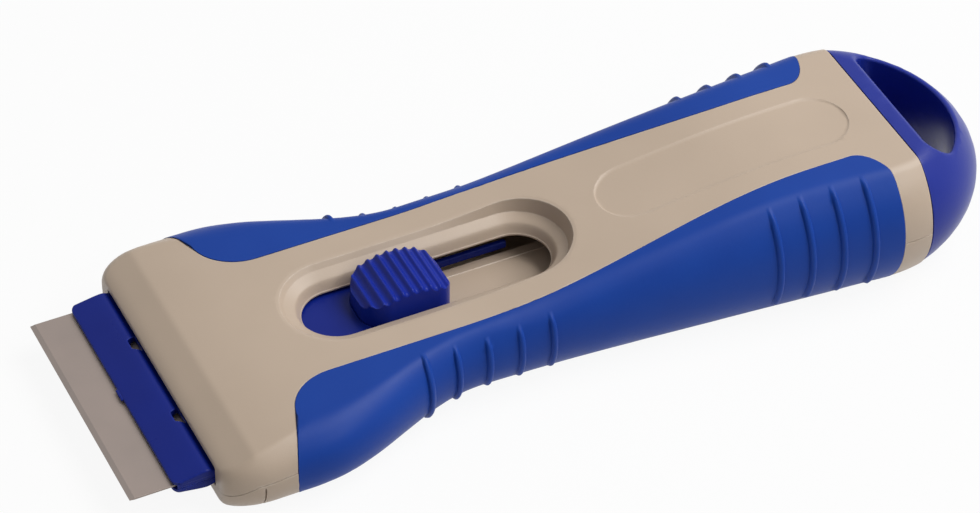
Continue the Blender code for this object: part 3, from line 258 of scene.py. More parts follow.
def block(low: Sequence[float], high: Sequence[float], edge: float = 0.0) -> BMesh:
    """A box between two corners, with its edges rounded where an edge radius is given."""
    bm = bmesh.new()
    size = Vector(high) - Vector(low)
    middle = (Vector(high) + Vector(low)) / 2
    matrix = Matrix.Translation(middle) @ Matrix.Diagonal((*size, 1))
    bmesh.ops.create_cube(bm, size=1, matrix=matrix)
    if edge:
        round_edges(bm, edge)
    return bm


def bevel(bm: BMesh, edges: Sequence[BMEdge], radius: float, segments: int = 3) -> None:
    """Rounds some edges of a mesh."""
    bmesh.ops.bevel(
        bm, geom=edges, offset=radius, segments=segments, profile=0.5, affect="EDGES", clamp_overlap=True,
        material=-1,
    )


def round_edges(bm: BMesh, radius: float, angle: float = SHARP_TURN, segments: int = 3) -> None:
    """Rounds the edges of a mesh that turn by more than an angle.

    Args:
        bm: the mesh, changed in place.
        radius: the bevel's width.
        angle: the least turn of an edge that is bevelled.
        segments: how many strips the bevel has.
    """
    sharp = [e for e in bm.edges if len(e.link_faces) == 2 and e.calc_face_angle() > angle]
    bevel(bm, sharp, radius, segments)


def rounded_plan(x0: float, x1: float, half: float, corner: float, steps: int = 10) -> list[Point]:
    """Outline of a rectangle across the tool with round corners, as points (x, y)."""
    near, far, side = x0 + corner, x1 - corner, half - corner
    outline = []
    for turn, (x, y) in enumerate(((far, side), (near, side), (near, -side), (far, -side))):
        outline += corner_arc(x, y, corner, turn, steps)
    return outline


def stadium(front: float, back: float, radius: float, steps: int = 32, along: int = 24) -> list[Point]:
    """Outline of a slot between two arc centres on the middle line, as points (x, y).

    Args:
        front: X of the front arc's centre.
        back: X of the back arc's centre.
        radius: the arcs' radius.
        steps: pieces of each arc.
        along: pieces of each straight side.

    Returns:
        The points, once round.
    """
    outline = []
    for centre, other, start in ((back, front, -math.pi / 2), (front, back, math.pi / 2)):
        outline += arc(centre, 0, radius, spread(start, start + math.pi, steps + 1))
        side = outline[-1][1]
        outline += [(x, side) for x in spread(centre, other, along + 1)[1:-1]]
    return outline


def turned(profile: Sequence[Point], x: float, y: float, steps: int = 40) -> BMesh:
    """Spins a profile about an upright line.

    Args:
        profile: (radius, z) points from one pole to the other.
        x: X of the line.
        y: Y of the line.
        steps: pieces of the full turn.

    Returns:
        The turned solid.
    """
    bm = bmesh.new()
    verts = [bm.verts.new((x + r, y, z)) for r, z in profile]
    edges = [bm.edges.new(pair) for pair in zip(verts, verts[1:])]
    bmesh.ops.spin(
        bm, geom=verts + edges, cent=(x, y, 0), axis=(0, 0, 1), angle=2 * math.pi, steps=steps, use_merge=True
    )
    bmesh.ops.remove_doubles(bm, verts=bm.verts, dist=HAIR)
    bmesh.ops.recalc_face_normals(bm, faces=bm.faces)
    return bm


def stacked(x: float, y: float, levels: Sequence[float], radii: Sequence[float], steps: int = 24) -> BMesh:
    """Round drums on an upright line, stacked without a gap.

    Args:
        x: X of the line.
        y: Y of the line.
        levels: the drums' ends, from the top down.
        radii: the drums' radii, one fewer than the levels.
        steps: pieces of the full turn.

    Returns:
        The closed solid.
    """
    profile = [(0, levels[0])]
    for radius, high, low in zip(radii, levels, levels[1:]):
        profile += [(radius, high), (radius, low)]
    return turned([*profile, (0, levels[-1])], x, y, steps)


def cross_rod(x: float, z: float, radius: float, half: float, steps: int = 32) -> BMesh:
    """Returns a round bar that lies across the tool."""
    return prism(circle(x, z, radius, steps), Lie.Y, -half, half)


def placed(name: str, data: ID) -> Object:
    """Returns a new object of the scene that holds the data."""
    obj = bpy.data.objects.new(name, data)
    bpy.context.scene.collection.objects.link(obj)
    return obj


def mesh_object(name: str, bm: BMesh) -> Object:
    """Returns a new object of the scene with the mesh, whose BMesh is freed."""
    mesh = bpy.data.meshes.new(name)
    bm.to_mesh(mesh)
    bm.free()
    return placed(name, mesh)


class Carving:
    """A solid under work: meshes are joined to it, cut from it or kept of it, and it is baked at the end."""

    def __init__(self, bm: BMesh) -> None:
        """Starts from a closed mesh."""
        self.helpers: list[Object] = []
        self.solid = self._object(bm)

    def _object(self, bm: BMesh) -> Object:
        """Returns a scratch object that holds the mesh."""
        self.helpers.append(mesh_object("carving", bm))
        return self.helpers[-1]

    def _add(self, operation: Operation, parts: Sequence[BMesh]) -> "Carving":
        """Adds one Boolean for each mesh, and returns the carving."""
        for bm in parts:
            modifier = self.solid.modifiers.new(operation.name, "BOOLEAN")
            modifier.operation = operation.value
            modifier.solver = "MANIFOLD"
            modifier.object = self._object(bm)
        return self

    def cut(self, *parts: BMesh) -> "Carving":
        """Cuts meshes away, and returns the carving."""
        return self._add(Operation.CUT, parts)

    def join(self, *parts: BMesh) -> "Carving":
        """Joins meshes on, and returns the carving."""
        return self._add(Operation.JOIN, parts)

    def keep(self, *parts: BMesh) -> "Carving":
        """Keeps what lies in the meshes, and returns the carving."""
        return self._add(Operation.KEEP, parts)

    def baked(self) -> BMesh:
        """Returns the finished mesh, and removes the scratch objects."""
        graph = bpy.context.evaluated_depsgraph_get()
        graph.update()
        bm = bmesh.new()
        evaluated = self.solid.evaluated_get(graph)
        bm.from_mesh(evaluated.to_mesh())
        evaluated.to_mesh_clear()
        for obj in self.helpers:
            mesh = obj.data
            bpy.data.objects.remove(obj)
            bpy.data.meshes.remove(mesh)
        bmesh.ops.remove_doubles(bm, verts=bm.verts, dist=HAIR)
        return bm


# Form of the casing


@dataclass(frozen=True)
class CasingForm:
    """Outline, heights and cross-sections that the shells, grips and cap share."""

    mouth_half_width: float = 0.0228
    paddle_half_width: float = 0.0265
    waist_half_width: float = 0.0171
    tail_radius: float = 0.0206
    corner_length: float = 0.0075
    paddle_end: float = 0.0145
    waist_start: float = 0.0447
    waist_end: float = 0.057
    tail_centre: float = 0.1135
    flare_power: float = 1.4
    mouth_top: float = 0.0028
    crease_length: float = 0.005
    crease_top: float = 0.005
    crease_blur: float = 0.00042
    deck_top: float = 0.006
    deck_start: float = 0.0175
    rise_start: float = 0.042
    rise_end: float = 0.103
    tail_top: float = 0.0114
    nose_depth: float = 0.0032
    nose_length: float = 0.003
    belly_front_depth: float = 0.0052
    belly_tail_depth: float = 0.009
    side_radii: Point = (0.0058, 0.013)
    shoulder_radii: tuple[float, float, float] = (0.002, 0.0042, 0.0028)
    keel_radii: Point = (0.002, 0.0023)
    side_middles: Point = (0.0002, 0.0006)
    partings: Point = (-0.0017, 0.001)
    shape_start: float = 0.0133
    joint: float = 0.1179
    outline_blur: float = 0.002
    seam_places: tuple[float, float, float, float] = (0.0, 0.0045, 0.0105, 0.1179)
    seam_heights: tuple[float, float, float, float] = (-0.0011, 0.001, 0.0015, 0.001)
    nose_round: float = 0.0002
    lip_drop: float = 0.00055
    lip_length: float = 0.0019
    tail_round: float = 0.0002
    recess_depth: float = 0.0014
    wall: float = 0.0012
    nose_steps: int = 14
    crease_steps: int = 11
    front_steps: int = 50
    back_steps: int = 56
    end_steps: int = 6

    @property
    def tail_end(self) -> float:
        """X of the tail's end."""
        return self.tail_centre + self.tail_radius

    @property
    def skin(self) -> float:
        """Depth from the outside to the inside of the wall, past the seat of a grip."""
        return self.recess_depth + self.wall

    def raw_half_width(self, x: float) -> float:
        """Returns half the casing's width at station x, before its corners are rounded."""
        if x < self.paddle_end:
            share = quarter(x / self.corner_length)
            return mix(self.mouth_half_width, self.paddle_half_width, share)
        if x < self.waist_end:
            share = ease(self.paddle_end, self.waist_start, x)
            return mix(self.paddle_half_width, self.waist_half_width, share)
        if x < self.tail_centre:
            share = (x - self.waist_end) / (self.tail_centre - self.waist_end)
            return mix(self.waist_half_width, self.tail_radius, share**self.flare_power)
        return math.sqrt(max(self.tail_radius**2 - (x - self.tail_centre) ** 2, 0.0))

    def half_width(self, x: float) -> float:
        """Returns half the casing's width at station x."""
        reach = self.outline_blur * ease(self.corner_length, self.paddle_end, x)
        return blurred(self.raw_half_width, x, reach) if reach else self.raw_half_width(x)

    def raw_top(self, x: float) -> float:
        """Returns the deck's height at station x, before the crease is rounded."""
        if x < self.crease_length:
            return mix(self.mouth_top, self.crease_top, x / self.crease_length)
        if x < self.deck_start:
            share = (self.deck_start - x) / (self.deck_start - self.crease_length)
            return mix(self.deck_top, self.crease_top, share**2)
        return mix(self.deck_top, self.tail_top, ease(self.rise_start, self.rise_end, x))

    def top(self, x: float) -> float:
        """Returns the deck's height at station x, with the round lip over the mouth."""
        return blurred(self.raw_top, x, self.crease_blur) - self.lip_drop * (1 - quarter(x / self.lip_length))

    def belly(self, x: float) -> float:
        """Returns the height of the flat underside, which drops evenly to the joint."""
        share = (x - self.nose_length) / (self.joint - self.nose_length)
        return -mix(self.belly_front_depth, self.belly_tail_depth, min(share, 1.0))

    def bottom(self, x: float) -> float:
        """Returns the underside's height, with the rounded nose."""
        if x < self.nose_length:
            return mix(-self.nose_depth, self.belly(self.nose_length), quarter(x / self.nose_length))
        return self.belly(x)

    def parting(self, x: float) -> float:
        """Returns the height of the plane that parts the two shells."""
        return mix(*self.partings, x / self.joint)

    def seam_line(self, drop: float) -> list[Point]:
        """Returns the points (x, z) of the line where the shells meet outside, lowered by a distance."""
        return [(x, z - drop) for x, z in zip(self.seam_places, self.seam_heights)]

    def rounding(self, x: float) -> float:
        """Returns how far the outside draws in at station x, to round the casing's two ends."""
        front = self.nose_round * (1 - quarter(x / self.nose_round))
        back = self.tail_round * (1 - quarter((self.joint - x) / self.tail_round))
        return front + back

    def half_section(self, x: float, inset: float = 0.0, widest: float = 1.0) -> list[Point]:
        """Points (y, z) of half a cross-section, from the top's middle to the underside's.

        Args:
            x: the station.
            inset: how far inside the casing the line runs.
            widest: the most that the half width may be before the inset.

        Returns:
            The points of the +Y half.
        """
        share = ease(self.shape_start, self.rise_end, x)
        shoulder = mix(*self.shoulder_radii[:2], ease(self.rise_start, self.waist_end, x))
        shoulder = mix(shoulder, self.shoulder_radii[2], ease(self.waist_end, self.rise_end, x))
        return section_line(
            min(self.half_width(x), widest) - inset,
            self.top(x) - inset,
            self.bottom(x) + inset,
            mix(*self.side_radii, share),
            shoulder,
            mix(*self.keel_radii, share),
            mix(*self.side_middles, share),
        )

    def ring(self, x: float, inset: float = 0.0, widest: float = 1.0) -> list[Vector]:
        """Returns the ring of points round the whole cross-section at station x."""
        right = self.half_section(x, inset, widest)
        left = [(-y, z) for y, z in reversed(right[1:-1])]
        return [Vector((x, y, z)) for y, z in right + left]

    def stations(self) -> list[float]:
        """Returns the stations of the fine casing, closest at the nose and the crease."""
        nose = [self.corner_length * share for share in bunched(self.nose_steps)]
        reach = 2 * self.crease_blur
        crease = spread(self.crease_length - reach, self.crease_length + reach, self.crease_steps)
        front = spread(self.corner_length, self.waist_end, self.front_steps)[1:]
        back = spread(self.waist_end, self.joint, self.back_steps)[1:]
        shares = bunched(self.end_steps)
        ends = [self.nose_round * share for share in shares]
        ends += [self.joint - self.tail_round * share for share in shares]
        places = sorted(nose + crease + front + back + ends)
        kept = [places[0]]
        for x in places[1:]:
            if x - kept[-1] > CLEAR / 4:
                kept.append(x)
        kept[-1] = self.joint
        return kept


def section_line(
    outer: float,
    high: float,
    low: float,
    radius: float,
    shoulder: float,
    keel: float,
    middle: float,
    steps: tuple[int, int, int] = (9, 9, 18),
) -> list[Point]:
    """Points of half a cross-section whose side is an arc, rounded into flats above and below.

    Args:
        outer: half the width.
        high: height of the flat top.
        low: height of the flat underside.
        radius: radius of the side.
        shoulder: radius between the side and the top.
        keel: radius between the side and the underside.
        middle: height of the side's widest place.
        steps: pieces of each flat, of each corner and of the side.

    Returns:
        Points (y, z) from the middle of the top to the middle of the underside.
    """
    flats, corners, sides = steps
    limit = (high - low) / 2 - GAP
    centre = outer - radius
    shoulder = min(shoulder, limit, radius - GAP)
    keel = min(keel, limit, radius - GAP)

    def meeting(height: float, corner: float) -> Point:
        """Returns where a corner's arc meets the flat, and the angle at which it meets the side."""
        inner = radius - corner
        rise = min(height - corner, inner)
        run = math.sqrt(inner**2 - rise**2)
        return centre + run, math.atan2(rise, run)

    top_y, top_angle = meeting(high - middle, shoulder)
    low_y, low_angle = meeting(middle - low, keel)
    points = [(top_y * i / flats, high) for i in range(flats)]
    points += arc(top_y, high - shoulder, shoulder, spread(math.pi / 2, top_angle, corners + 1)[:-1])
    points += arc(centre, middle, radius, spread(top_angle, -low_angle, sides + 1)[:-1])
    points += arc(low_y, low + keel, keel, spread(-low_angle, -math.pi / 2, corners + 1)[:-1])
    return points + [(low_y * (1 - i / flats), low) for i in range(flats + 1)]


# Finishes


@dataclass(frozen=True)
class Wiring:
    """Adds nodes to a shader tree, wired as they are made."""

    tree: NodeTree

    def feed(self, node: Node, inputs: Inputs) -> None:
        """Gives each named or numbered input of a node its value, or a link from the socket given."""
        for key, source in inputs.items():
            if isinstance(source, NodeSocket):
                self.tree.links.new(source, node.inputs[key])
            else:
                node.inputs[key].default_value = source

    def add(self, kind: str, inputs: Inputs | None = None, **settings: object) -> Node:
        """Adds a node.

        Args:
            kind: its type, without the leading ShaderNode.
            inputs: what each of its inputs gets: a value or a socket.
            settings: its own properties, set before its inputs.

        Returns:
            The node.
        """
        node = self.tree.nodes.new(f"ShaderNode{kind}")
        for name, value in settings.items():
            setattr(node, name, value)
        self.feed(node, inputs or {})
        return node

    def calc(self, operation: str, first: object, second: object) -> NodeSocket:
        """Returns the result of a calculation with two values or sockets."""
        return self.add("Math", {0: first, 1: second}, operation=operation).outputs[0]

    def step(self, source: NodeSocket, zero: float, one: float) -> NodeSocket:
        """Returns a mask that is 0 where the source has the first value and 1 where it has the second."""
        return self.add("MapRange", {"Value": source, "From Min": zero, "From Max": one}).outputs["Result"]

    def between(self, share: NodeSocket, low: float, high: float) -> NodeSocket:
        """Returns the value at a share of the way from low to high."""
        return self.add("MapRange", {"Value": share, "To Min": low, "To Max": high}).outputs["Result"]

    def blend(self, share: NodeSocket, first: object, second: object) -> NodeSocket:
        """Returns the colour at a share of the way between two colours or sockets."""
        ends = [(*end, 1) if isinstance(end, tuple) else end for end in (first, second)]
        node = self.add("Mix", {"Factor": share, "A": ends[0], "B": ends[1]}, data_type="RGBA")
        return node.outputs["Result"]

    def noise(self, **inputs: object) -> NodeSocket:
        """Returns noise that is fixed to the object, with the given inputs by name."""
        place = self.add("TexCoord").outputs["Object"]
        return self.add("TexNoise", {"Vector": place, **inputs}).outputs["Fac"]

    def rounded(self, radius: object, samples: int) -> NodeSocket:
        """Returns the surface's normal, rounded over its edges."""
        return self.add("Bevel", {"Radius": radius}, samples=samples).outputs["Normal"]


Sockets = dict[str, NodeSocket]


def grain_masks(wires: Wiring, take: Sockets) -> Sockets:
    """Returns fine spark-eroded grain: its height and a slow change of tone."""
    return {
        output: wires.noise(Scale=wires.calc("DIVIDE", 1.0, take[size]), Detail=detail, Roughness=0.6)
        for size, output, detail in (("Pitch", "Height", 3.0), ("Tone Size", "Tone", 2.0))
    }


def wear_and_glint_mask(wires: Wiring, take: Sockets) -> Sockets:
    """Returns a mask of rubbed edges that also paints highlight lines along the edges, from how far the
    rounded normal leans.
    """
    normals = {0: wires.rounded(take["Radius"], 6), 1: wires.add("NewGeometry").outputs["Normal"]}
    lean = wires.add("VectorMath", normals, operation="DOT_PRODUCT").outputs["Value"]
    patches = wires.step(wires.noise(Scale=420.0, Detail=5.0), zero=0.35, one=0.7)
    # convex and concave edges alike are marked: partly rubbed wear, partly painted highlight lines
    worn_and_glinting = wires.calc("MULTIPLY", wires.step(lean, zero=0.985, one=0.93), patches)
    return {"Mask": wires.calc("MULTIPLY", worn_and_glinting, take["Amount"])}


def smear_mask(wires: Wiring, take: Sockets) -> Sockets:
    """Returns a mask of the soft smears that change how glossy a surface is."""
    scale = wires.calc("DIVIDE", 1.0, take["Size"])
    smears = wires.noise(Scale=scale, Detail=4.0, Distortion=0.4)
    return {"Smear": wires.step(smears, zero=0.38, one=0.68)}


@dataclass(frozen=True)
class MaskGroup:
    """A node group with float inputs and outputs, which the finishes share. It is built at its first use."""

    name: str
    inputs: tuple[tuple[str, float], ...]
    make: Callable[[Wiring, Sockets], Sockets]

    def _built(self) -> NodeTree:
        """Builds the group and returns it."""
        tree = bpy.data.node_groups.new(self.name, "ShaderNodeTree")
        for label, value in self.inputs:
            socket = tree.interface.new_socket(label, in_out="INPUT", socket_type="NodeSocketFloat")
            socket.default_value = value
        take = tree.nodes.new("NodeGroupInput")
        masks = self.make(Wiring(tree), {label: take.outputs[label] for label, _ in self.inputs})
        for label in masks:
            tree.interface.new_socket(label, in_out="OUTPUT", socket_type="NodeSocketFloat")
        give = tree.nodes.new("NodeGroupOutput")
        for label, source in masks.items():
            tree.links.new(source, give.inputs[label])
        return tree

    def add(self, wires: Wiring, inputs: Inputs) -> NodeOutputs:
        """Adds the group to a tree with some of its inputs set, and returns its outputs."""
        group = bpy.data.node_groups.get(self.name) or self._built()
        return wires.add("Group", inputs, node_tree=group).outputs


GRAIN = MaskGroup("moulded_grain", (("Pitch", 0.0003), ("Tone Size", 0.02)), grain_masks)
WEAR_AND_GLINT = MaskGroup("edge_wear_and_glint", (("Radius", 0.0005), ("Amount", 1.0)), wear_and_glint_mask)
SMEAR = MaskGroup("handling_smear", (("Size", 0.012),), smear_mask)


@dataclass(frozen=True, kw_only=True)
class Finish:
    """What the finishes share: a material that is built once, with its gloss and its fine relief."""

    name: str
    colour: Colour
    roughness: float
    roughness_range: float
    edge_radius: float
    edge_samples: int

    def material(self) -> Material:
        """Returns the material, built once."""
        material = bpy.data.materials.get(self.name)
        if not material:
            material = bpy.data.materials.new(self.name)
            material.use_nodes = True
            self.dress(Wiring(material.node_tree), material.node_tree.nodes["Principled BSDF"])
        return material

    def dress(self, wires: Wiring, shader: Node) -> None:
        """Wires the material's own look."""
        raise NotImplementedError

    def relief(self, wires: Wiring, height: NodeSocket, depth: float) -> NodeSocket:
        """Returns the normal of a fine relief over rounded edges."""
        rounded = wires.rounded(self.edge_radius, self.edge_samples)
        return wires.add("Bump", {"Distance": depth, "Height": height, "Normal": rounded}).outputs["Normal"]

    def gloss(self, wires: Wiring, smear: NodeSocket) -> NodeSocket:
        """Returns the roughness, which rises where the surface is smeared."""
        return wires.between(smear, self.roughness, self.roughness + self.roughness_range)


@dataclass(frozen=True, kw_only=True)
class Moulding(Finish):
    """A moulded plastic or rubber: its colour, gloss, grain, and its edges lightened partly as rubbed wear
    and partly as painted highlight lines.
    """

    shade: Colour
    wear_and_glint: Colour
    roughness: float = 0.4
    roughness_range: float = 0.08
    grain_pitch: float = 0.0003
    grain_depth: float = 0.000012
    edge_radius: float = 0.00025
    edge_samples: int = 6
    wear_and_glint_reach: float = 2.2
    wear_and_glint_amount: float = 0.35
    specular: float = 0.5
    tone_steps: Point = (0.3, 0.62)

    def dress(self, wires: Wiring, shader: Node) -> None:
        """Wires a tone that changes slowly, edges lightened as wear and as painted highlight lines, smears
        and grain.
        """
        grain = GRAIN.add(wires, {"Pitch": self.grain_pitch})
        wear_glint = WEAR_AND_GLINT.add(wires, {"Radius": self.edge_radius * self.wear_and_glint_reach, "Amount": self.wear_and_glint_amount})
        tone = wires.blend(wires.step(grain["Tone"], *self.tone_steps), self.shade, self.colour)
        wires.feed(shader, {
            # edges blend towards a lighter colour: partly rubbed wear, partly painted highlight lines along
            # edges
            "Base Color": wires.blend(wear_glint["Mask"], tone, self.wear_and_glint),
            "Roughness": self.gloss(wires, SMEAR.add(wires, {})["Smear"]),
            "Specular IOR Level": self.specular,
            "Normal": self.relief(wires, grain["Height"], self.grain_depth),
        })


@dataclass(frozen=True, kw_only=True)
class GroundSteel(Finish):
    """Ground or drawn steel, with fine parallel marks and a thin film of oil or zinc."""

    film: Colour
    roughness: float = 0.35
    roughness_range: float = 0.12
    mark_pitch: float = 0.00012
    mark_length: float = 0.006
    mark_depth: float = 0.000002
    edge_radius: float = 0.00004
    edge_samples: int = 4
    tone_size: float = 0.008
    smear_size: float = 0.009
    along: Lie = Lie.Y

    def dress(self, wires: Wiring, shader: Node) -> None:
        """Wires the film's tone, smears and marks that are drawn out along one axis."""
        scales = [1 / (self.mark_length if lie is self.along else self.mark_pitch) for lie in Lie]
        place = wires.add("TexCoord").outputs["Object"]
        stretched = wires.add("Mapping", {"Vector": place, "Scale": scales}).outputs["Vector"]
        marks = wires.add("TexNoise", {"Vector": stretched, "Scale": 1.0, "Detail": 4.0}).outputs["Fac"]
        tone = GRAIN.add(wires, {"Tone Size": self.tone_size})["Tone"]
        wires.feed(shader, {
            "Base Color": wires.blend(tone, self.colour, self.film),
            "Metallic": 1.0,
            "Roughness": self.gloss(wires, SMEAR.add(wires, {"Size": self.smear_size})["Smear"]),
            "Normal": self.relief(wires, marks, self.mark_depth),
        })


@dataclass(frozen=True)
class Finishes:
    """The finishes of the scraper."""

    casing: Moulding = Moulding(
        name="satin_beige_casing",
        colour=(0.480, 0.378, 0.290),
        shade=(0.455, 0.357, 0.272),
        wear_and_glint=(0.74, 0.66, 0.57),
        roughness=0.38,
        grain_pitch=0.00028,
        grain_depth=0.000010,
        edge_radius=0.0002,
        # lightened edges stand for wear and for painted highlight lines at seams, rims and joints
        wear_and_glint_amount=0.6,
        specular=0.45,
    )
    grip: Moulding = Moulding(
        name="soft_blue_rubber",
        colour=(0.004, 0.046, 0.300),
        shade=(0.003, 0.039, 0.270),
        wear_and_glint=(0.02, 0.08, 0.36),
        roughness=0.42,
        grain_pitch=0.0005,
        grain_depth=0.000010,
        edge_radius=0.00018,
        wear_and_glint_amount=0.25,
        specular=0.18,
    )
    cap: Moulding = Moulding(
        name="violet_blue_cap",
        colour=(0.010, 0.024, 0.255),
        shade=(0.009, 0.021, 0.225),
        wear_and_glint=(0.05, 0.07, 0.34),
        roughness=0.30,
        grain_pitch=0.0004,
        grain_depth=0.000006,
        edge_radius=0.00025,
        wear_and_glint_amount=0.3,
        specular=0.22,
    )
    slide: Moulding = Moulding(
        name="violet_blue_slide",
        colour=(0.004, 0.015, 0.195),
        shade=(0.003, 0.012, 0.170),
        wear_and_glint=(0.035, 0.06, 0.42),
        roughness=0.27,
        grain_pitch=0.0004,
        grain_depth=0.000005,
        edge_radius=0.00015,
        # high amount so that the knob's crests and edges carry painted glints as well as wear
        wear_and_glint_amount=0.85,
        specular=0.14,
    )
    # The knob: the slide's violet-blue plastic painted lighter, as painted light on its raised top, with
    # brighter painted glints on its crests.
    lit_knob: Moulding = replace(
        slide,
        name="lit_violet_blue_knob",
        colour=(0.006, 0.021, 0.285),
        shade=(0.005, 0.018, 0.250),
        wear_and_glint=(0.045, 0.075, 0.50),
    )
    blade: GroundSteel = GroundSteel(
        name="ground_blade_steel", colour=(0.29, 0.24, 0.215), film=(0.26, 0.22, 0.2), roughness=0.44
    )
    grind: GroundSteel = GroundSteel(
        name="ground_blade_edge",
        colour=(0.268, 0.226, 0.204),
        film=(0.22, 0.19, 0.175),
        roughness=0.4,
        mark_pitch=0.00007,
        mark_length=0.002,
        along=Lie.X,
    )
    spring: GroundSteel = GroundSteel(
        name="drawn_spring_steel", colour=(0.45, 0.45, 0.46), film=(0.36, 0.36, 0.37)
    )
    screw: GroundSteel = GroundSteel(
        name="zinc_screw_steel", colour=(0.52, 0.53, 0.55), film=(0.44, 0.45, 0.48), roughness=0.3
    )


# Placing pieces


@dataclass(frozen=True)
class Bench:
    """Moves finished meshes from the tool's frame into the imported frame."""

    shift: Vector

    @classmethod
    def from_frame(cls, form: CasingForm) -> "Bench":
        """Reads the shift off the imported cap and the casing's underside."""
        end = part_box("tail_cap")[1].x
        return cls(Vector((end - form.tail_end, 0.0, form.belly_tail_depth)))

    def lay(
        self,
        name: str,
        bm: BMesh,
        finishes: Sequence[Finish],
        body: str,
        nodes: Sequence[str],
        sharp: float = 32.0,
    ) -> None:
        """Makes the finished piece from a mesh.

        Args:
            name: the piece's name.
            bm: its mesh in the tool's frame.
            finishes: its finishes, in the order of its faces' numbers.
            body: the body that it rides on.
            nodes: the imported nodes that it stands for.
            sharp: degrees past which an edge is shaded sharp.
        """
        bmesh.ops.translate(bm, verts=bm.verts, vec=self.shift)
        piece = mesh_object(name, bm)
        mesh = piece.data
        for finish in finishes:
            mesh.materials.append(finish.material())
        mesh.shade_smooth()
        mesh.set_sharp_from_angle(angle=math.radians(sharp))
        even = piece.modifiers.new("even_shading", "WEIGHTED_NORMAL")
        even.keep_sharp = True
        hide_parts(*nodes)
        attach(piece, body)
        log.info("%s: %d faces", name, len(mesh.polygons))


# Side grips


